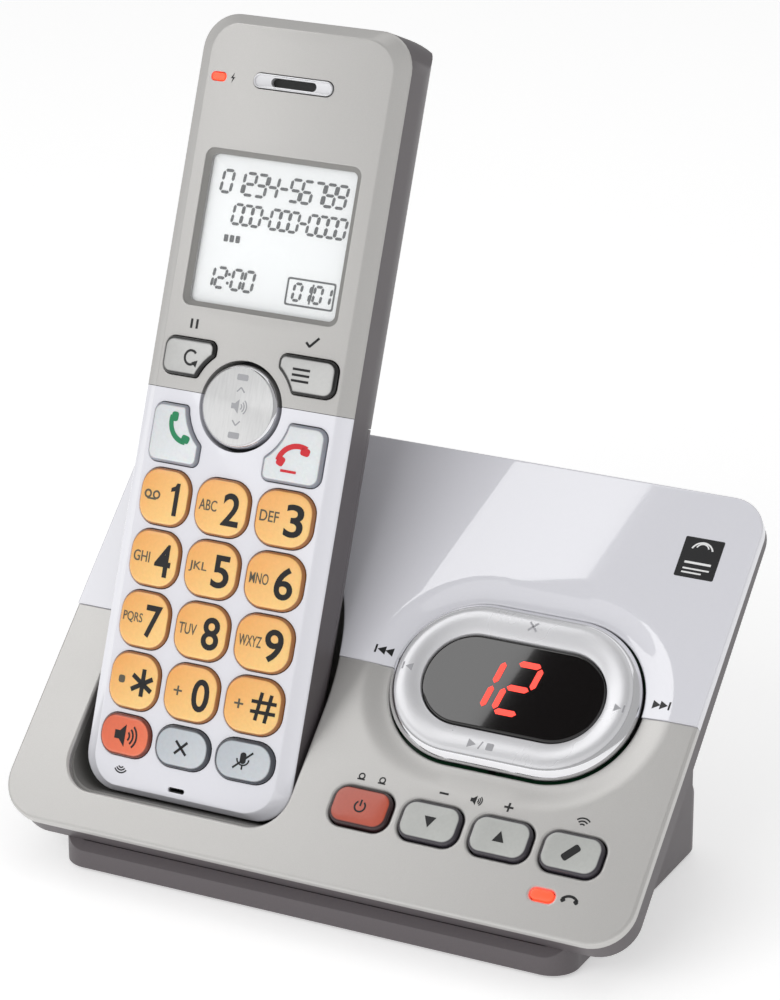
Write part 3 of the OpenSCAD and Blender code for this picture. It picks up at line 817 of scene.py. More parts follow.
def wire(tree, *rows):
    """Links given as rows: node, its output, next node, its input."""
    for source, outlet, target, inlet in rows:
        tree.links.new(source.outputs[outlet], target.inputs[inlet])


def grain_group():
    """Fine moulded or sprayed grain: a value round 0.5 and a normal."""
    group, start, end = shader_group(
        "Fine grain",
        [("Scale", "NodeSocketFloat", 2000.0), ("Strength", "NodeSocketFloat", 0.2),
        ("Stretch", "NodeSocketVector", (1, 1, 1))],
        [("Value", "NodeSocketFloat"), ("Normal", "NodeSocketVector")])
    place = add_node(group, "ShaderNodeTexCoord")
    stretch = add_node(group, "ShaderNodeVectorMath", operation="MULTIPLY")
    noise = add_node(group, "ShaderNodeTexNoise", {"Detail": 2.0})
    bump = add_node(group, "ShaderNodeBump", {"Distance": 0.00004})
    wire(group, (place, "Object", stretch, 0), (start, "Stretch", stretch, 1),
        (stretch, 0, noise, "Vector"),
         (start, "Scale", noise, "Scale"), (noise, "Fac", bump, "Height"),
         (start, "Strength", bump, "Strength"), (noise, "Fac", end, "Value"),
         (bump, "Normal", end, "Normal"))


def handling_group():
    """Faint smears left by handling: a roughness that varies round a middle value."""
    group, start, end = shader_group(
        "Handling smears",
        [("Roughness", "NodeSocketFloat", 0.3), ("Spread", "NodeSocketFloat", 0.05),
        ("Scale", "NodeSocketFloat", 60.0)],
        [("Roughness", "NodeSocketFloat")])
    place = add_node(group, "ShaderNodeTexCoord")
    noise = add_node(group, "ShaderNodeTexNoise", {"Detail": 3.0, "Distortion": 0.8})
    centred = add_node(group, "ShaderNodeMath", {1: 0.5}, operation="SUBTRACT")
    spread = add_node(group, "ShaderNodeMath", operation="MULTIPLY_ADD")
    wire(group, (place, "Object", noise, "Vector"), (start, "Scale", noise, "Scale"),
         (noise, "Fac", centred, 0), (centred, 0, spread, 0), (start, "Spread", spread, 1),
         (start, "Roughness", spread, 2), (spread, 0, end, "Roughness"))


def key_colour_group():
    """Colour of a translucent key: a darker rim, a clear middle, and one side warmer than the other."""
    group, start, end = shader_group(
        "Key colour",
        [("Rim", "NodeSocketColor", (0, 0, 0, 1)), ("Body", "NodeSocketColor", (1, 1, 1, 1)),
         ("Painted shade", "NodeSocketColor", (1, 1, 1, 1)), ("Rim width", "NodeSocketFloat", 0.25)],
        [("Color", "NodeSocketColor")])
    middle = add_node(group, "ShaderNodeAttribute", attribute_name="middle")
    slant = add_node(group, "ShaderNodeAttribute", attribute_name="slant")
    inner = add_node(group, "ShaderNodeMath", {1: 0.55}, operation="MULTIPLY")
    rim = add_node(group, "ShaderNodeMapRange", interpolation_type="SMOOTHSTEP")
    # side mixes the painted shade into the upper left side of a key
    side = add_node(group, "ShaderNodeMapRange", {"From Min": -0.9, "From Max": 0.5})
    body = add_node(group, "ShaderNodeMix", data_type="RGBA")
    whole = add_node(group, "ShaderNodeMix", data_type="RGBA")
    wire(group, (start, "Rim width", inner, 0), (inner, 0, rim, "From Min"),
         (start, "Rim width", rim, "From Max"), (middle, "Fac", rim, "Value"),
         (slant, "Fac", side, "Value"),
         (side, "Result", body, "Factor"), (start, "Painted shade", body, "A"), (start, "Body", body, "B"),
         (rim, "Result", whole, "Factor"), (start, "Rim", whole, "A"), (body, "Result", whole, "B"),
         (whole, "Result", end, "Color"))


def finish(name, base, roughness, grain=(2500, 0.1), spread=0.06, smear=60.0, variation=0.06,
           stretch=(1, 1, 1), key=None, **settings):
    """A moulded, painted or metal finish. key gives (rim, shade, rim width) for translucent keys."""
    material = bpy.data.materials.new(name)
    material.use_nodes = True
    tree = material.node_tree
    shader = tree.nodes["Principled BSDF"]
    for label, value in settings.items():
        shader.inputs[label.replace("_", " ")].default_value = value
    groups = bpy.data.node_groups
    texture = add_node(tree, "ShaderNodeGroup",
        {"Scale": grain[0], "Strength": grain[1], "Stretch": stretch},
                       node_tree=groups["Fine grain"])
    smears = add_node(tree, "ShaderNodeGroup", {"Roughness": roughness, "Spread": spread, "Scale": smear},
                      node_tree=groups["Handling smears"])
    tone = add_node(tree, "ShaderNodeMapRange", {"To Min": 1 - variation, "To Max": 1 + variation})
    shade = add_node(tree, "ShaderNodeMix", {"Factor": 1}, data_type="RGBA", blend_type="MULTIPLY")
    if key:
        # side is the colour of the painted shade on a key's upper left side
        rim, side, width = key
        colours = add_node(
            tree, "ShaderNodeGroup", node_tree=groups["Key colour"],
            inputs={"Rim": (*rim, 1), "Body": (*base, 1), "Painted shade": (*side, 1), "Rim width": width})
        wire(tree, (colours, "Color", shade, "A"))
    else:
        shade.inputs["A"].default_value = (*base, 1)
    wire(tree, (texture, "Value", tone, "Value"), (tone, "Result", shade, "B"),
         (shade, "Result", shader, "Base Color"), (smears, "Roughness", shader, "Roughness"),
         (texture, "Normal", shader, "Normal"))
    return material


def key_finish(name, base, rim, shade, width, glow=0.0, roughness=0.24, **settings):
    """Plastic of a key. glow is how much light spreads inside it."""
    return finish(name, base, roughness, (1500, 0.02), key=(rim, shade, width), Subsurface_Weight=glow,
                  Subsurface_Scale=0.001, Coat_Weight=0.3, Coat_Roughness=0.08, **settings)


def ink_finish(name, base, roughness=0.42, variation=0.15, bumps=0.03):
    return finish(name, base, roughness, (4000, bumps), variation=variation)


MATERIALS = {}


def make_materials():
    """Every finish, by the record's slots, and the inks."""
    c = bpy.context.scene.telephone_colours
    grain_group(), handling_group(), key_colour_group()
    MATERIALS.update({
        "silver_paint": finish(
            "Silver paint", tuple(c.silver), 0.36, (9000, 0.14), variation=0.12,
            Metallic=0.45, Coat_Weight=0.15, Coat_Roughness=0.2),
        "white_gloss": finish(
            "White gloss", tuple(c.white), 0.06, (1200, 0.004), 0.015, variation=0.01,
            Coat_Weight=1.0, Coat_Roughness=0.02, Coat_IOR=1.6),
        "dark_shell": finish("Dark shell", tuple(c.shell), 0.42, (5200, 0.28), 0.10, variation=0.12),
        # the third colour of each key and base button is a painted shade on its upper left side
        "amber_key": key_finish(
            "Amber key", tuple(c.amber), (0.38, 0.15, 0.04), (0.84, 0.38, 0.10), 0.28, glow=0.25),
        "orange_key": key_finish(
            "Orange key", tuple(c.orange), (0.20, 0.04, 0.02), (0.70, 0.14, 0.07), 0.34, glow=0.2),
        "pale_key": key_finish(
            "Pale key", tuple(c.pale), (0.06, 0.065, 0.08), (0.45, 0.48, 0.52), 0.40, glow=0.1),
        "clear_key": key_finish(
            "Clear key", (0.76, 0.79, 0.80), (0.28, 0.29, 0.33), (0.66, 0.68, 0.70), 0.36, glow=0.2),
        "smoke_key": key_finish(
            "Smoke key", (0.58, 0.58, 0.57), (0.006, 0.006, 0.006), (0.48, 0.48, 0.47), 0.42,
            roughness=0.26, Metallic=0.2),
        "red_button": key_finish(
            "Red button", tuple(c.red), (0.035, 0.012, 0.014), (0.42, 0.09, 0.06), 0.42, roughness=0.26),
        "base_key": key_finish(
            "Base key", (0.52, 0.53, 0.51), (0.04, 0.035, 0.045), (0.40, 0.405, 0.39), 0.42,
            roughness=0.26),
        "satin_metal": finish(
            "Satin white metal", (0.72, 0.72, 0.74), 0.28, (7000, 0.05), variation=0.04,
            Metallic=0.35, Coat_Weight=0.3, Coat_Roughness=0.1),
        "rocker_metal": finish(
            "Rocker metal", (0.74, 0.74, 0.74), 0.34, (2600, 0.06), variation=0.10,
            stretch=(1, 0.12, 0.12), Metallic=0.8, Anisotropic=0.6),
        "well_plastic": finish("Well plastic", (0.24, 0.235, 0.225), 0.45, (5200, 0.2)),
        "bright_trim": finish(
            "Bright trim", (0.78, 0.78, 0.80), 0.10, (3000, 0.02), 0.03, variation=0.02, Metallic=1.0),
        # the display panel carries a faint painted glow (Emission Strength 0.05) that brightens it, though
        # it is no lamp
        "lcd_panel": finish(
            "Display panel", (0.93, 0.94, 0.94), 0.30, (1800, 0.01), variation=0.02,
            Emission_Color=(0.93, 0.95, 0.96, 1), Emission_Strength=0.05, Coat_Weight=0.3,
            Coat_Roughness=0.03),
        "lens_black": finish(
            "Dark lens", (0.006, 0.005, 0.005), 0.05, (900, 0.005), 0.01, variation=0.02,
            Coat_Weight=1.0, Coat_Roughness=0.02),
        "light_red": finish(
            "Red light", tuple(c.light), 0.2, (1500, 0.02), variation=0.03,
            Emission_Color=(*c.light, 1), Emission_Strength=1.2),
        "counter_light": finish(
            "Counter light", (0.8, 0.06, 0.04), 0.3, (1500, 0.01), variation=0.03,
            Emission_Color=(1.0, 0.045, 0.03, 1), Emission_Strength=1.15),
        "window_clear": finish(
            "Clear window", (0.92, 0.95, 0.97), 0.03, (900, 0.004), 0.01, variation=0.01, Alpha=0.10),
        "circuit_board": finish("Circuit board", (0.02, 0.12, 0.05), 0.35, (3000, 0.1)),
        "key_mat": finish("Key mat", (0.03, 0.03, 0.035), 0.6, (3000, 0.1)),
        "inner_black": finish("Inner black", (0.012, 0.012, 0.012), 0.5, (4000, 0.2)),
        "contact_metal": finish("Contact metal", (0.75, 0.60, 0.32), 0.25, (5000, 0.05), Metallic=1.0),
        "screw_steel": finish("Screw steel", (0.50, 0.50, 0.52), 0.32, (5000, 0.1), Metallic=1.0),
        "battery_wrap": finish("Battery wrap", (0.03, 0.16, 0.07), 0.28, (1500, 0.05)),
        "foot_rubber": finish("Foot rubber", (0.018, 0.018, 0.018), 0.75, (2500, 0.3)),
        "black_ink": ink_finish("Black ink", (0.008, 0.008, 0.009)),
        "grey_ink": ink_finish("Grey ink", (0.10, 0.085, 0.06)),
        "pale_ink": ink_finish("Pale ink", (0.36, 0.36, 0.38), variation=0.10),
        "white_ink": ink_finish("White ink", (0.82, 0.82, 0.82), 0.40, 0.05),
        "green_ink": ink_finish("Green ink", (0.01, 0.22, 0.09), 0.40, 0.1),
        "red_ink": ink_finish("Red ink", (0.62, 0.02, 0.03), 0.40, 0.1),
        "lcd_ink": ink_finish("Display segments", (0.006, 0.007, 0.008), 0.5, 0.1, 0.02),
    })


# ---------- handset pieces ----------

FACE_HALF = 21.5           # half width of the handset's flat face
FACE_LOW, FACE_HIGH = 1.5, 2.3    # its distances from the handset's two ends
GRILLE_Y = 152
LAMP_X, LAMP_Y = -18.3, 151.9
MICROPHONE_Y = 3.2


def face_outline(share):
    """Outline of the handset's front, from its flat face (share 0) to its outer edge (share 1)."""
    half = FACE_HALF + (HS_HALF - FACE_HALF) * share
    low, high = FACE_LOW * (1 - share), HS_LENGTH - FACE_HIGH * (1 - share)
    radius = 6.6 + 1.4 * share
    return rounded([(-half, low, radius), (half, low, radius), (half, high, radius),
        (-half, high, radius)], 10)


WINDOW_X, WINDOW_Y, _ = (WINDOW_LOW + WINDOW_HIGH) / 2


def handset_holes():
    gap = mm(bpy.context.scene.telephone_handset.key_gap)
    holes = [offset(outline, gap) for _, outline, _ in key_places()]
    rocker = local_middle("volume_rocker", HANDSET)
    radius = mm(bpy.context.scene.telephone_handset.rocker_radius) + 0.8
    holes.append(circle(0, rocker[1], radius, 72))
    holes.append(box_outline(0, WINDOW_Y, 36.6, 33.4, 2.0))
    holes.append(stadium(0, GRILLE_Y, 18.8, 3.4))
    holes.append(box_outline(LAMP_X, LAMP_Y, 3.9, 2.0, 0.9, 5))
    holes.append(box_outline(0, MICROPHONE_Y, 3.8, 1.0, 0.45, 5))
    return holes


def front_plate():
    """The whole handset front as a bmesh: crowned face, bevels and every opening."""
    base = 0.1
    rim = []
    for share in (-0.03, 0.02, 0.07, 0.13, 0.22, 0.5, 0.85, 0.94, 0.985, 1.0):
        soft = 0.05
        fall = (share + math.sqrt(share * share + soft * soft)) / 2
        edge = max(0, (share - 0.94) / 0.06) ** 2 * 0.22
        outline = face_outline(share)
        rim.append((outline, lambda x, y, f=fall,
            d=edge: crown_height(x) + (base + 0.1 - crown_height(x)) * f - d))
    rim.append((face_outline(1.0), 0.0))
    outer = face_outline(-0.09)
    return plate(outer, handset_holes(), lambda x, y: crown_height(x), 0.0, 0.16, 1.8, rim=rim,
        support=0.08)


def build_handset_front():
    for name, point, way, material, slot, node in (
            ("handset_front_white", HS_SPLIT, 1, "white_gloss", "white_gloss", "front_cover"),
            ("handset_front_silver", HS_SPLIT + 0.12, -1, "silver_paint", "silver_paint", "display_bezel")):
        bm = front_plate()
        half_of(bm, Vector((0, point, 0)), Vector((0, way, 0)))
        new_piece(name, bm, HANDSET, material, "handset", (node,), smooth=40)


def build_handset_window():
    outer = box_outline(WINDOW_X, WINDOW_Y, 36.8, 33.6, 2.1)
    inner = box_outline(WINDOW_X, WINDOW_Y, 34.3, 31.3, 1.4)
    lip = box_outline(WINDOW_X, WINDOW_Y, 34.8, 31.8, 1.6)
    frame_ring("handset_window_frame",
               [(outer, 0.9), (outer, 2.6), (lip, 2.05), (inner, 1.9), (inner, 0.9)],
               HANDSET, "well_plastic", "handset")
    x, y = WINDOW_X, WINDOW_Y
    bm = bmesh.new()
    glass = box_outline(x, y, WINDOW_HIGH[0] - WINDOW_LOW[0], WINDOW_HIGH[1] - WINDOW_LOW[1], 1.5)
    add_rings(bm, [lift(glass, 1.12), lift(glass, 1.75), lift(offset(glass, -0.15), 1.9)])
    new_piece("handset_window", bm, HANDSET, "window_clear", "handset", ("display_window",))
    bm = bmesh.new()
    panel = box_outline(x, y, 37.2, 34.2, 1.0)
    add_rings(bm, [lift(panel, -2.4), lift(panel, 0.55), lift(offset(panel, -0.6), 0.85)])
    new_piece("handset_display", bm, HANDSET, "lcd_panel", "handset", ("lcd_module",))
    left, low = x - 15.4, y - 15.75
    shapes = segment_shapes("01234-56789", left + 0.8, low + 23.6, 4.6, stroke=0.14, pitch=0.585)
    shapes += segment_shapes("000-000-0000", left + 4.6, low + 17.3, 4.1, stroke=0.15, pitch=0.54)
    shapes += [box_outline(left + 4.0 + 1.4 * i, low + 14.1, 1.0, 1.5, 0.2, 2) for i in range(3)]
    shapes += segment_shapes("12:00", left + 0.2, low + 3.6, 4.2, stroke=0.15, pitch=0.68)
    shapes += segment_shapes("01", left + 21.5, low + 3.4, 3.5, stroke=0.17, pitch=0.60)
    shapes += segment_shapes("01", left + 26.3, low + 3.4, 3.5, stroke=0.17, pitch=0.60)
    shapes.append(line(left + 25.6, low + 3.0, left + 26.1, low + 7.2, 0.4))
    ink("handset_display_figures", shapes, 0.87, HANDSET, "lcd_ink", "handset",
        step=(None, None))
    frame_ring("handset_display_box",
               [(o, h) for o, h in zip(
                   [box_outline(left + 25.6, low + 5.15, 11.4, 5.9, 0.5, 3)] * 2
                   + [box_outline(left + 25.6, low + 5.15, 10.6, 5.1, 0.3, 3)] * 2,
                   (0.75, 0.92, 0.92, 0.75))],
               HANDSET, "lcd_ink", "handset")


def build_handset_keys():
    proud = mm(bpy.context.scene.telephone_handset.key_proud)
    for node, outline, kind in key_places():
        slot = kind + "_key"
        cap(node + "_cap", outline, lambda x, y: crown_height(x) + proud, 2.6, 0.8,
            slot, HANDSET, node, (node,))


def build_rocker():
    radius = mm(bpy.context.scene.telephone_handset.rocker_radius)
    y = ROCKER[1]
    bm = bmesh.new()
    profile = [(radius - 0.3, 0.2), (radius, 0.5), (radius, 4.15), (radius - 0.12, 4.4),
        (radius - 0.5, 4.95), (radius - 0.62, 5.02)]
    rings = [lift(circle(0, y, r), z) for r, z in profile]
    inner = radius - 0.62
    rings.append(lift(circle(0, y, inner - 0.03), 4.6))
    add_rings(bm, rings)
    new_piece("rocker_rim", bm, HANDSET, "bright_trim", "volume_rocker", ("volume_rocker",))
    bm = bmesh.new()
    dish = 160.0

    def face(r):
        return 5.02 - (inner * inner - r * r) / (2 * dish)
    steps = [inner - 0.05] + [inner * k / 9 for k in range(8, 0, -1)]
    rings = [lift(circle(0, y, inner - 0.05), 4.2)] + [lift(circle(0, y, r), face(r)) for r in steps]
    add_rings(bm, rings)
    new_piece("rocker_face", bm, HANDSET, "rocker_metal", "volume_rocker")
    shapes = []
    for sign in (1, -1):
        shapes.append(line(-0.9, y + sign * 3.0, 0, y + sign * 4.0, 0.3))
        shapes.append(line(0, y + sign * 4.0, 0.9, y + sign * 3.0, 0.3))
        shapes.append(box_outline(0, y + sign * 6.1, 2.6, 1.3, 0.3, 3))
    shapes += speaker_icon(0.1, y, 3.6)
    ink("rocker_marks", shapes, lambda px, py: face(math.hypot(px, py - y)), HANDSET,
        "pale_ink", "volume_rocker", step=(0.8, 0.8), thick=0.03)


def build_handset_marks():
    sizes = bpy.context.scene.telephone_handset
    proud = mm(sizes.key_proud)
    big, small = mm(sizes.digit_height), mm(sizes.letter_height)

    def key_top(x, y):
        return crown_height(x) + proud

    for label, letters in zip(KEY_LABELS, KEY_LETTERS):
        node = "key_" + label
        x, y, _ = local_middle(node, HANDSET)
        shapes, words = [], []
        right = x + 2.5
        if label == "star":
            for angle in (0, 60, 120):
                shapes.append(turned(line(right, y - 2.9, right, y + 2.9, 1.0), right, y - 0.2, angle))
        elif label == "hash":
            for shift in (-1.05, 1.05):
                stroke = line(right + shift, y - 3.0, right + shift, y + 3.0, 0.75)
                shapes.append(turned(stroke, right, y, -7))
                shapes.append(line(right - 2.7, y + shift, right + 2.7, y + shift, 0.75))
        elif label == "1":
            stem = right + 0.75
            top, foot = y + big / 2 - 0.1, y - big / 2 - 0.1
            shapes.append([Vector(p) for p in (
                (stem - 0.5, foot), (stem + 0.55, foot), (stem + 0.55, top), (stem - 0.2, top),
                (stem - 0.55, top - 0.7), (stem - 1.5, top - 1.15), (stem - 1.5, top - 2.0),
                (stem - 0.5, top - 1.7))])
        else:
            words.append((label, right, y - 0.1, big, 0.17, 4.0))
        ink(node + "_number", shapes, key_top, HANDSET, "black_ink", node, words, (1.2, None))
        shapes, words = [], []
        if letters:
            short = len(letters) < 4
            words.append((letters, x - (3.0 if short else 2.7), y + 0.1, small, 0.05, 4.2
                if short else 5.0))
        elif label == "1":
            for side in (-1, 1):
                shapes.append(arc_band(x - 2.9 + side * 1.1, y + 0.2, 0.75, 0.4, 0, 359, 20))
            shapes.append(line(x - 4.0, y - 0.72, x - 1.8, y - 0.72, 0.4))
        elif label == "star":
            shapes.append(box_outline(x - 2.9, y, 1.6, 1.6, 0.5, 4))
        elif label == "0":
            words.append(("+", x - 2.9, y + 0.1, 2.0, 0.05))
        else:
            shapes += [line(x - 3.9, y, x - 1.9, y, 0.4), line(x - 2.9, y - 1, x - 2.9, y + 1, 0.4)]
        ink(node + "_letters", shapes, key_top, HANDSET, "grey_ink", node, words, (1.2, None))

    def key_mark(node, shapes, colour="black_ink"):
        ink(node + "_mark", shapes, key_top, HANDSET, colour, node)

    x, y, _ = local_middle("speaker_key", HANDSET)
    key_mark("speaker_key", speaker_icon(x + 0.4, y, 5.6))
    x, y, _ = local_middle("delete_key", HANDSET)
    key_mark("delete_key", cross_icon(x, y, 2.7, 0.55))
    x, y, _ = local_middle("mute_key", HANDSET)
    key_mark("mute_key", [
        box_outline(x, y + 0.6, 1.3, 2.4, 0.6, 5), arc_band(x, y + 0.4, 1.3, 0.32, 180, 360, 12),
        line(x, y - 0.9, x, y - 1.8, 0.34), line(x - 2.0, y - 1.7, x + 2.0, y + 2.0, 0.4)])
    x, y = centre_of(side_key(-1, False))
    key_mark("talk_key", handset_icon(x - 0.4, y + 0.9, 5.6, 128), "green_ink")
    x, y = centre_of(side_key(1, False))
    key_mark("off_key", handset_icon(x + 0.6, y + 0.4, 5.6, 28)
             + [line(x - 1.2, y - 3.6, x + 2.2, y - 3.6, 0.55)], "red_ink")
    x, y = centre_of(side_key(-1, True))
    key_mark("redial_key", [
        arc_band(x - 0.2, y, 1.5, 0.5, 40, 330, 20), triangle(x + 1.15, y - 1.0, 1.5, -40)])
    x, y = centre_of(side_key(1, True))
    key_mark("menu_key", [line(x - 1.9, y + k, x + 1.9, y + k, 0.5) for k in (-1.2, 0, 1.2)])

    def face_mark(name, shapes):
        ink(name, shapes, lambda x, y: crown_height(x), HANDSET, "black_ink", "handset")

    face_mark("handset_silver_marks", [
        line(-14.8, 98.9, -14.8, 100.9, 0.55), line(-13.4, 98.9, -13.4, 100.9, 0.55),
        line(12.5, 99.8, 13.4, 98.9, 0.5), line(13.3, 98.9, 15.2, 101.0, 0.5)])
    face_mark("handset_white_marks", [
        arc_band(-14.2, 6.1, 0.7 + 0.55 * i, 0.3, 215, 325, 8) for i in range(3)])
    bolt = [(0.25, 1), (-0.5, -0.1), (0.0, -0.1), (-0.25, -1), (0.5, 0.15), (0.0, 0.15)]
    face_mark("charge_mark", [moved(bolt, -14.6, LAMP_Y, 1.05)])


def build_handset_details():
    top = FRONT_TOP - 0.05
    outer, mid, inner = [stadium(0, GRILLE_Y, *size) for size in ((18.4, 3.0), (17.6, 2.4), (10.6, 1.9))]
    frame_ring("receiver_grille_bar",
               [(outer, 1.2), (outer, top), (offset(outer, -0.18), top + 0.05),
                (mid, top - 0.35), (inner, top - 0.5), (inner, 1.2)],
               HANDSET, "satin_metal", "handset", ("receiver_grille",))
    bm = bmesh.new()
    well = stadium(0, GRILLE_Y, 16.8, 2.6)
    add_rings(bm, [lift(well, 0.8), lift(well, top - 1.6), lift(offset(well, -0.3), top - 1.7)])
    new_piece("receiver_mesh", bm, HANDSET, "inner_black", "handset")
    lamp = box_outline(LAMP_X, LAMP_Y, 3.5, 1.6, 0.72, 5)
    cap("charge_light_lens", lamp, lambda x, y: crown_height(x) + 0.04, 1.6, 0.25, "light_red",
        HANDSET, "handset", ("charge_light",), dome=0.03)
    outer = box_outline(0, MICROPHONE_Y, 3.9, 1.1, 0.5, 6)
    inner = box_outline(0, MICROPHONE_Y, 3.3, 0.55, 0.26, 6)
    frame_ring("microphone_rim", [(outer, 1.0), (outer, 3.9), (inner, 3.75), (inner, 1.0)],
               HANDSET, "inner_black", "handset")


def ridge_rows(name, first, step, count, size, matrix, material, body):
    """Equal raised ridges in a row, placed by Geometry Nodes on a line of points."""
    outline = box_outline(0, 0, size[0], size[1], size[1] * 0.45, 5)
    bm = bmesh.new()
    add_rings(bm, [lift(outline, -0.3), lift(outline, size[2] * 0.6),
                   lift(offset(outline, -size[1] * 0.2), size[2])])
    bmesh.ops.recalc_face_normals(bm, faces=bm.faces)
    mesh = bpy.data.meshes.new(name + "_one")
    bm.to_mesh(mesh)
    bm.free()
    mesh.transform(matrix.to_3x3().to_4x4())
    one = bpy.data.objects.new(name + "_one", mesh)
    bpy.context.scene.collection.objects.link(one)
    group = bpy.data.node_groups.new(name + " row", "GeometryNodeTree")
    for label, kind, value in (
            ("Count", "NodeSocketInt", count),
            ("Start", "NodeSocketVector", tuple(matrix @ Vector(first))),
            ("Step", "NodeSocketVector", tuple(matrix.to_3x3() @ Vector(step))),
            ("Ridge", "NodeSocketObject", None),
            ("Material", "NodeSocketMaterial", None)):
        socket = group.interface.new_socket(name=label, in_out="INPUT", socket_type=kind)
        if value is not None:
            socket.default_value = value
    group.interface.new_socket(name="Geometry", in_out="OUTPUT", socket_type="NodeSocketGeometry")
    start, end, row, info, instances, realize, dress = [group.nodes.new(kind) for kind in (
        "NodeGroupInput", "NodeGroupOutput", "GeometryNodeMeshLine", "GeometryNodeObjectInfo",
        "GeometryNodeInstanceOnPoints", "GeometryNodeRealizeInstances", "GeometryNodeSetMaterial")]
    wire(group, (start, "Count", row, "Count"), (start, "Start", row, "Start Location"),
         (start, "Step", row, "Offset"), (start, "Ridge", info, "Object"),
         (row, "Mesh", instances, "Points"),
         (info, "Geometry", instances, "Instance"), (instances, "Instances", realize, "Geometry"),
         (realize, "Geometry", dress, "Geometry"), (start, "Material", dress, "Material"),
         (dress, "Geometry", end, "Geometry"))
    holder = bpy.data.objects.new(name, bpy.data.meshes.new(name))
    bpy.context.scene.collection.objects.link(holder)
    modifier = holder.modifiers.new("Row", "NODES")
    modifier.node_group = group
    for item in group.interface.items_tree:
        if item.item_type == "SOCKET" and item.in_out == "INPUT":
            if item.name == "Ridge":
                modifier[item.identifier] = one
            elif item.name == "Material":
                modifier[item.identifier] = MATERIALS[material]
    graph = bpy.context.evaluated_depsgraph_get()
    made = bpy.data.meshes.new_from_object(holder.evaluated_get(graph))
    holder.modifiers.clear()
    if not made.vertices:
        raise RuntimeError("the row " + name + " came out empty")
    made.shade_smooth()
    made.set_sharp_from_angle(angle=math.radians(40))
    holder.data = made
    bpy.data.objects.remove(one)
    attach(holder, body)
    return holder


def build_handset_shell():
    soften("back_cover", "handset_back", 0.35, "dark_shell")
    soften("battery_door", "battery_door_shell", 0.25, "dark_shell")


# ---------- base pieces ----------

def dish(x, y):
    """Depth of the shallow dish round the display ring."""
    sizes = bpy.context.scene.telephone_base
    depth, width = mm(sizes.dish_depth), mm(sizes.dish_width)
    half_x, half_y = RING_SIZE[0] / 2 - RING_SIZE[1] / 2, RING_SIZE[1] / 2
    dx = max(0, abs(x - RING_MIDDLE[0]) - half_x)
    away = math.hypot(dx, y - RING_MIDDLE[1]) - half_y - 0.5
    share = min(1, max(0, 1 - away / width))
    return depth * share * share * (3 - 2 * share)


def mouth_outline(height):
    """Opening of the deck over the handset's pocket."""
    right = []
    for wide, y in cradle_mouth(height):
        point = Vector((CRADLE_X + wide, y))
        if not right or (point - right[-1]).length > 0.35:
            right.append(point)
    left = [Vector((2 * CRADLE_X - p.x, p.y)) for p in reversed(right)]
    return right + left


BUTTONS = ("answer_button", "volume_down_button", "volume_up_button", "locator_button")


def base_holes(height):
    holes = [stadium(RING_MIDDLE[0], RING_MIDDLE[1], RING_SIZE[0] + 1.0, RING_SIZE[1] + 1.0, 28)]
    sizes = bpy.context.scene.telephone_base
    for button in BUTTONS:
        x, y, _ = local_middle(button, DECK)
        holes.append(box_outline(x, y, mm(sizes.button_width) + 0.6, mm(sizes.button_height) + 0.6, 3.3))
    x, y, _ = local_middle("in_use_light", DECK)
    holes.append(box_outline(x, y, 5.4, 2.7, 1.25, 5))
    holes.append(mouth_outline(height))
    return holes


def dish_points():
    """Extra points that give the dish round the ring its shape."""
    found = []
    for away in (1.4, 2.4, 3.4, 4.4, 5.4, 6.4, 7.4):
        ring = stadium(RING_MIDDLE[0], RING_MIDDLE[1], RING_SIZE[0] + 2 * away, RING_SIZE[1] + 2 * away, 24)
        found += [(p.x, p.y) for p in ring]
    return found


def build_deck():
    sizes = bpy.context.scene.telephone_base
    low, high = DECK_LOW, DECK_HIGH
    half = (high[0] - low[0]) / 2
    length_y = high[1] - low[1]
    outline = rounded([(-half, 0, 10), (half, 0, 9), (half, length_y, 8), (-half, length_y, 8)], 12)
    split = DECK_SPLIT
    bm = plate(outline, base_holes(0), lambda x, y: -dish(x, y), -2.0, 0.6, 3.0, extra=dish_points())
    half_of(bm, Vector((0, split, 0)), Vector((0, 1, 0)))
    new_piece("deck_silver", bm, DECK, "silver_paint", "base", ("deck_cover",), smooth=40)
    step = 0.5
    bm = plate(outline, base_holes(step), lambda x, y: step - dish(x, y), -2.0, mm(sizes.panel_edge), 3.0,
        extra=dish_points())
    half_of(bm, Vector((0, split + 0.12, 0)), Vector((0, -1, 0)))
    new_piece("deck_white", bm, DECK, "white_gloss", "base", ("white_panel",), smooth=40)


def build_base_body():
    soften("deck_tray", "deck_skirt", 0.4, "dark_shell")
    soften("lower_housing", "base_foot", 0.5, "dark_shell")
    soften("charging_cradle", "handset_well", 0.1, "well_plastic")


LENS_TOP = 1.4             # flat top of the counter's lens above the deck


# the ring's outer bevel and its face: (share of the way from its outer to its inner edge, height)
RING_BEVEL = ((0, -1.0), (0, 0.35), (0.02, 0.62), (0.11, 1.45), (0.17, 1.85), (0.20, 1.95), (0.24, 1.6),
              (0.24, -1.0))
RING_FACE = ((0.21, -0.8), (0.21, 1.88), (0.27, 2.08), (0.36, 2.18), (0.5, 2.2), (0.66, 2.1), (0.82, 1.88),
             (0.93, 1.66), (0.98, 1.5), (1.0, 1.2), (1.0, -0.8))


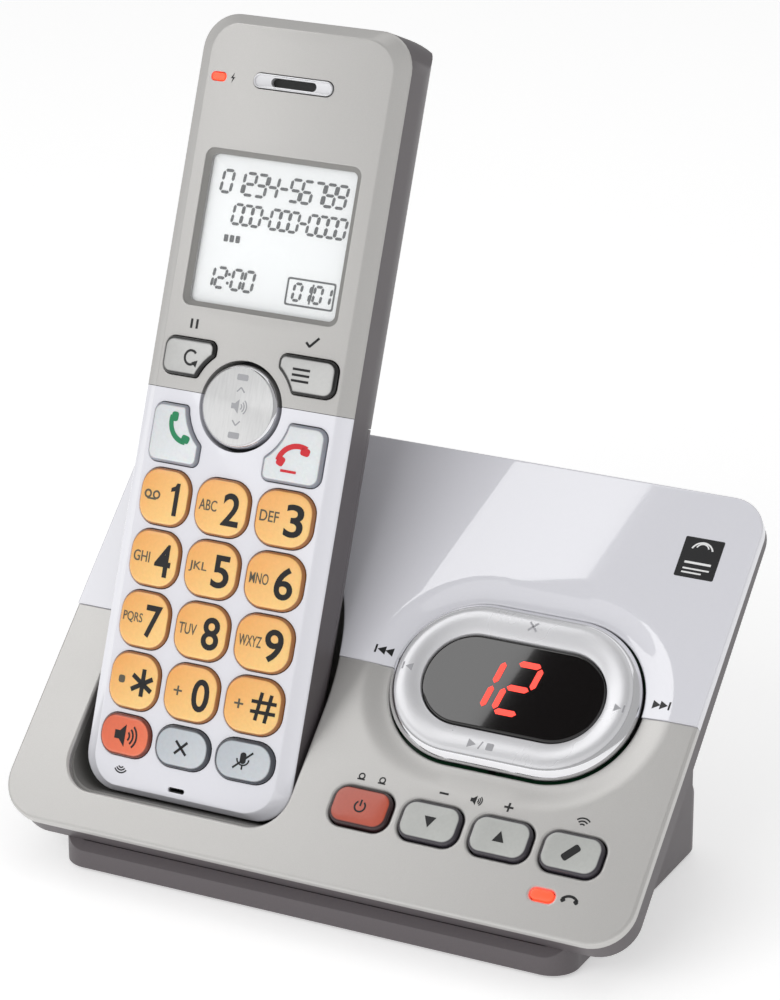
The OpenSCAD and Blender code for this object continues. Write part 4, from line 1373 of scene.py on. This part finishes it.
def build_display_ring():
    x, y, _ = RING_MIDDLE
    wide, high, _ = RING_SIZE
    inner_wide, inner_high = 40.6, 20.8

    def ring(share):
        return stadium(x, y, wide + (inner_wide - wide) * share, high + (inner_high - high) * share, 30)

    for name, profile, material, nodes in (
            ("ring_bevel", RING_BEVEL, "bright_trim", ("play_ring",)),
            ("ring_face", RING_FACE, "satin_metal", ())):
        frame_ring(name, [(ring(share), height) for share, height in profile],
                   DECK, material, "play_ring", nodes)
    bm = bmesh.new()
    lens = stadium(x, y, 40.1, 20.3, 30)
    rings = [lift(lens, -0.2)]
    rings += [lift(offset(lens, -inset), height) for inset, height in (
        (0, 1.1), (0.15, 1.3), (0.45, LENS_TOP), (0.6, LENS_TOP), (0.8, LENS_TOP))]
    add_rings(bm, rings)
    new_piece("display_lens_dark", bm, DECK, "lens_black", "base", ("display_lens",))
    height = mm(bpy.context.scene.telephone_base.digit_height)
    figures = segment_shapes("12", x - 10.9, y - height / 2, height, stroke=0.115, slant=0.16, pitch=0.74)
    ink("counter_figures", figures, LENS_TOP + 0.02, DECK, "counter_light", "base",
        step=(2.0, None), thick=0.08)

    def ring_top(px, py):
        away = high / 2 - math.hypot(max(0, abs(px - x) - (wide - high) / 2), py - y)
        shares, heights = zip(*RING_FACE[1:-2])
        return float(np.interp(min(1, max(0, away / 7.3)), shares, heights))

    marks = [triangle(x - 4.2, y - 13.9, 2.0, -90), line(x - 1.9, y - 13.0, x - 2.5, y - 14.8, 0.3),
             box_outline(x - 0.1, y - 13.9, 1.6, 1.6, 0.2, 3)]
    marks += [triangle(x - 23.4, y, 1.7, 90), line(x - 24.8, y - 0.8, x - 24.8, y + 0.8, 0.35),
              triangle(x + 23.4, y, 1.7, -90), line(x + 24.8, y - 0.8, x + 24.8, y + 0.8, 0.35)]
    marks += cross_icon(x, y + 13.9, 1.9, 0.4)
    ink("ring_marks", marks, ring_top, DECK, "pale_ink", "play_ring", step=(0.7, 0.7),
        thick=0.04)


def build_base_buttons():
    sizes = bpy.context.scene.telephone_base
    for button in BUTTONS:
        x, y, _ = local_middle(button, DECK)
        outline = box_outline(x, y, mm(sizes.button_width), mm(sizes.button_height), 3.0)
        red = button == "answer_button"
        slot = "red_button" if red else "pale_key"
        cap(button + "_cap", outline, lambda px, py: 0.95, 3.0, 0.75, slot if red else "base_key",
            DECK, button, (button,), dome=0.12)
    marks = {
        "answer_button": power_icon, "volume_down_button": lambda x, y, s: [triangle(x, y, s * 0.9, 180)],
        "volume_up_button": lambda x, y, s: [triangle(x, y, s * 0.9, 0)],
        "locator_button": lambda x, y, s: [turned(box_outline(x, y, 1.7, 4.2, 0.5, 4), x, y, -42)]}
    for button, shape in marks.items():
        x, y, _ = local_middle(button, DECK)
        ink(button + "_mark", shape(x, y, 2.9), 0.95, DECK, "black_ink", button,
            step=(None, None))
    x, y, _ = local_middle("in_use_light", DECK)
    cap("in_use_lens", box_outline(x, y, 5.0, 2.3, 1.1, 5), lambda px, py: 0.28, 2.0, 0.35, "light_red",
        DECK, "base", ("in_use_light",), dome=0.04)


def build_base_marks():
    places = [local_middle(button, DECK) for button in BUTTONS]
    y = places[0][1] + 6.6
    x0, x1, x2, x3 = [place[0] for place in places]
    bells = (x0 - 2.35, x0 + 2.35)
    shapes = [line(bell - 0.85, y - 0.45, bell + 0.85, y - 0.45, 0.3) for bell in bells]
    shapes += [arc_band(bell, y + 0.25, 0.6, 0.3, 0, 359, 16) for bell in bells]
    shapes.append(line(x1 - 0.4, y + 0.3, x1 + 1.6, y + 0.3, 0.42))
    shapes += [line(x2 - 1.6, y + 0.3, x2 + 0.4, y + 0.3, 0.42),
        line(x2 - 0.6, y - 0.7, x2 - 0.6, y + 1.3, 0.42)]
    shapes += speaker_icon((x1 + x2) / 2, y + 0.3, 2.5)
    shapes += [arc_band(x3, y - 0.6, 0.7 + 0.65 * i, 0.32, 45, 135, 8) for i in range(3)]
    x, yl, _ = local_middle("in_use_light", DECK)
    shapes += handset_icon(x + 6.0, yl + 0.4, 2.8, 0)
    ink("deck_silver_marks", shapes, lambda px, py: -dish(px, py), DECK, "black_ink", "base",
        step=(1.5, None))
    left, right = RING_LOW[0] - 4.2, RING_HIGH[0] + 4.6
    y = DECK_SPLIT + 3.2
    shapes = [triangle(left, y, 1.9, 90), triangle(left + 1.7, y, 1.9, 90),
        line(left - 1.3, y - 0.9, left - 1.3, y + 0.9, 0.4)]
    shapes += [triangle(right, y, 1.9, -90), triangle(right - 1.7, y, 1.9, -90),
        line(right + 1.3, y - 0.9, right + 1.3, y + 0.9, 0.4)]
    ink("deck_white_marks", shapes, lambda px, py: 0.5 - dish(px, py), DECK, "black_ink", "base",
        step=(1.5, None))
    x, y = 61.0, 86.0
    ink("rating_label", [box_outline(x, y, 8.6, 9.2, 0.3, 2)], 0.5, DECK, "black_ink", "base",
        step=(None, None))
    leaf = [arc_band(x, y + 1.2, 2.4, 0.35, 20, 160, 14), arc_band(x, y + 1.9, 1.4, 0.3, 20, 160, 12)]
    rows = [line(x - 2.9, y - 1.2, x + 2.9, y - 1.2, 0.5), line(x - 2.9, y - 2.6, x + 2.9, y - 2.6, 0.35),
        line(x - 2.9, y - 3.5, x + 1.4, y - 3.5, 0.35)]
    ink("rating_label_print", leaf + rows, 0.56, DECK, "white_ink", "base",
        step=(None, None))


def build_back_details():
    """Ridges: the thumb grip of the battery door."""
    low = local_box("battery_door", HANDSET)[0]
    turned_back = HANDSET @ Matrix.Translation((0, 0, low[2] + 0.75)) @ Matrix.Rotation(math.pi, 4, "Y")
    ridge_rows("door_grip", (0, 71.2, 0.0), (0, 2.4, 0), 3, (15, 0.9, 0.6), turned_back,
               "dark_shell", "battery_door")


def finish_inner_parts():
    """Gives every part carried over from the model its own finish."""
    slots = {
        "battery_pack": "battery_wrap", "handset_board": "circuit_board", "base_board": "circuit_board",
        "keypad_mat": "key_mat", "charge_pads": "contact_metal", "charge_contacts": "contact_metal",
        "handset_screws": "screw_steel", "base_screws": "screw_steel", "rubber_feet": "foot_rubber",
        "base_feet": "foot_rubber"}
    for name, node in frame["nodes"].items():
        if node.hide_render:
            continue
        slot = slots.get(name, "inner_black")
        node.data.materials.clear()
        node.data.materials.append(MATERIALS[slot])


# ---------- stage ----------

def area_light(name, place, target, size_x, size_y, power):
    data = bpy.data.lights.new(name, "AREA")
    data.shape = "RECTANGLE"
    data.size, data.size_y = size_x, size_y
    data.energy = power
    lamp = bpy.data.objects.new(name, data)
    lamp.location = place
    lamp.rotation_mode = "QUATERNION"
    lamp.rotation_quaternion = (Vector(target) - Vector(place)).to_track_quat("-Z", "Y")
    bpy.context.scene.collection.objects.link(lamp)
    return lamp


def reflected_card(name, corners, brightness):
    """A studio card that only reflections see."""
    bm = bmesh.new()
    bm.faces.new([bm.verts.new(corner) for corner in corners])
    mesh = bpy.data.meshes.new(name)
    bm.to_mesh(mesh)
    bm.free()
    mesh.materials.append(finish(name, (0, 0, 0), 1.0, Emission_Color=(1, 1, 1, 1),
        Emission_Strength=brightness))
    card = bpy.data.objects.new(name, mesh)
    bpy.context.scene.collection.objects.link(card)
    card.visible_camera = card.visible_diffuse = card.visible_shadow = card.visible_transmission = False


CAMERA_AZIMUTH = math.radians(26.66)
CAMERA_ELEVATION = math.radians(21.058)
CAMERA_PLACE = Vector((0.32590, -0.65012, 0.35936))
CAMERA_LENS = 135.67
# shared edges of two cards each, in metres: one is mirrored by the deck, one by the handset's front
DECK_DIVIDE = ((-0.1439, -0.0798, 0.6584), (-0.2273, -0.2750, 0.5123))
FRONT_DIVIDE = ((-0.2950, -0.4580, 0.4000), (-0.3280, -0.5050, 0.2640))


def build_stage():
    scene = bpy.context.scene
    bm = bmesh.new()
    bmesh.ops.create_grid(bm, x_segments=8, y_segments=8, size=2.5)
    mesh = bpy.data.meshes.new("floor")
    bm.to_mesh(mesh)
    bm.free()
    mesh.materials.append(finish("Pale floor", (0.93, 0.93, 0.93), 0.6, (300, 0.02), variation=0.01,
        Emission_Color=(1, 1, 1, 1), Emission_Strength=0.42))
    floor = bpy.data.objects.new("floor", mesh)
    scene.collection.objects.link(floor)
    world = bpy.data.worlds.new("Studio")
    world.use_nodes = True
    world.node_tree.nodes["Background"].inputs["Color"].default_value = (1.0, 1.0, 1.0, 1)
    world.node_tree.nodes["Background"].inputs["Strength"].default_value = 0.5
    scene.world = world
    scene.view_settings.view_transform = "Standard"
    middle = Vector((0, 0, 0.08))
    area_light("key_light", (-0.25, -1.1, 0.62), middle, 1.0, 0.9, 6.6).visible_glossy = False
    area_light("top_light", (0.1, 0.45, 1.1), middle, 1.0, 0.6, 0.9)
    for name, shared, far, brightness in (
            ("card_bright", DECK_DIVIDE, ((-0.62, -0.23, 0.40), (-0.55, 0.05, 0.62)), 2.2),
            ("card_dark", DECK_DIVIDE, ((0.06, -0.36, 0.50), (0.12, -0.02, 0.72)), 0.02),
            ("card_front", FRONT_DIVIDE, ((-0.62, -0.36, 0.2640), (-0.62, -0.30, 0.42)), 1.5),
            ("card_side", FRONT_DIVIDE, ((0.02, -0.66, 0.2640), (0.02, -0.62, 0.42)), 1.0)):
        reflected_card(name, shared + far, brightness)
    data = bpy.data.cameras.new("camera")
    data.lens = CAMERA_LENS
    data.sensor_width = 36
    data.sensor_fit = "AUTO"
    data.clip_start, data.clip_end = 0.01, 20
    data.dof.use_dof = False
    camera = bpy.data.objects.new("camera", data)
    camera.location = CAMERA_PLACE
    back = Vector((math.sin(CAMERA_AZIMUTH) * math.cos(CAMERA_ELEVATION),
                   -math.cos(CAMERA_AZIMUTH) * math.cos(CAMERA_ELEVATION), math.sin(CAMERA_ELEVATION)))
    camera.rotation_mode = "QUATERNION"
    camera.rotation_quaternion = (-back).to_track_quat("-Z", "Y")
    scene.collection.objects.link(camera)
    scene.camera = camera


# ---------- add-on ----------

def step_operator(identifier, label, text, work):
    """Makes the operator class that runs one building step."""
    def execute(self, context):
        work()
        return {"FINISHED"}
    return type("TELEPHONE_OT_" + identifier, (bpy.types.Operator,), {
        "__doc__": text, "bl_idname": "telephone." + identifier, "bl_label": label,
        "bl_options": {"REGISTER", "UNDO"}, "execute": execute})


OPERATORS = [step_operator(*row) for row in (
    ("finishes", "Finishes", "Makes every finish and shader group", make_materials),
    ("handset_shell", "Handset shell", "Builds the handset's back and battery door", build_handset_shell),
    ("handset_front", "Handset front", "Builds the white and the silver front", build_handset_front),
    ("handset_window", "Handset window", "Builds the display, its figures and its window",
    build_handset_window),
    ("handset_keys", "Handset keys", "Builds every key of the handset", build_handset_keys),
    ("rocker", "Volume rocker", "Builds the round rocker", build_rocker),
    ("handset_details", "Handset details", "Builds the earpiece grille, light and microphone",
    build_handset_details),
    ("handset_marks", "Handset marks", "Prints the marks on the handset", build_handset_marks),
    ("deck", "Deck", "Builds the silver and the white deck", build_deck),
    ("base_body", "Base body", "Builds the skirt, the foot and the handset's well", build_base_body),
    ("display_ring", "Display ring", "Builds the ring, the lens and the counter", build_display_ring),
    ("base_buttons", "Base buttons", "Builds the base's buttons and its light", build_base_buttons),
    ("base_marks", "Base marks", "Prints the marks on the base", build_base_marks),
    ("back_details", "Back details", "Builds the ridges of the battery door", build_back_details),
    ("inner_parts", "Inner parts", "Finishes the parts carried over from the model", finish_inner_parts),
    ("stage", "Stage", "Builds the floor, the lights and the camera", build_stage),
)]


class TELEPHONE_PT_panel(bpy.types.Panel):
    """Lists the building steps and their values"""
    bl_idname = "TELEPHONE_PT_panel"
    bl_label = "Telephone"
    bl_space_type = "VIEW_3D"
    bl_region_type = "UI"
    bl_category = "Telephone"

    def draw(self, context):
        for group in (context.scene.telephone_handset, context.scene.telephone_base,
                context.scene.telephone_colours):
            box = self.layout.box()
            for name in group.__annotations__:
                box.prop(group, name)
        for operator in OPERATORS:
            self.layout.operator(operator.bl_idname)


GROUPS = (TelephoneHandset, TelephoneBase, TelephoneColours)
CLASSES = (*GROUPS, *OPERATORS, TELEPHONE_PT_panel)


def register():
    for made in CLASSES:
        bpy.utils.register_class(made)
    bpy.types.Scene.telephone_handset = bpy.props.PointerProperty(type=TelephoneHandset)
    bpy.types.Scene.telephone_base = bpy.props.PointerProperty(type=TelephoneBase)
    bpy.types.Scene.telephone_colours = bpy.props.PointerProperty(type=TelephoneColours)


def unregister():
    del bpy.types.Scene.telephone_handset
    del bpy.types.Scene.telephone_base
    del bpy.types.Scene.telephone_colours
    for made in reversed(CLASSES):
        bpy.utils.unregister_class(made)


def main():
    register()
    for operator in OPERATORS:
        step = getattr(bpy.ops.telephone, operator.bl_idname.split(".")[1])
        if step() != {"FINISHED"}:
            raise RuntimeError(operator.bl_label + " did not finish")


if __name__ == "__main__":
    main()
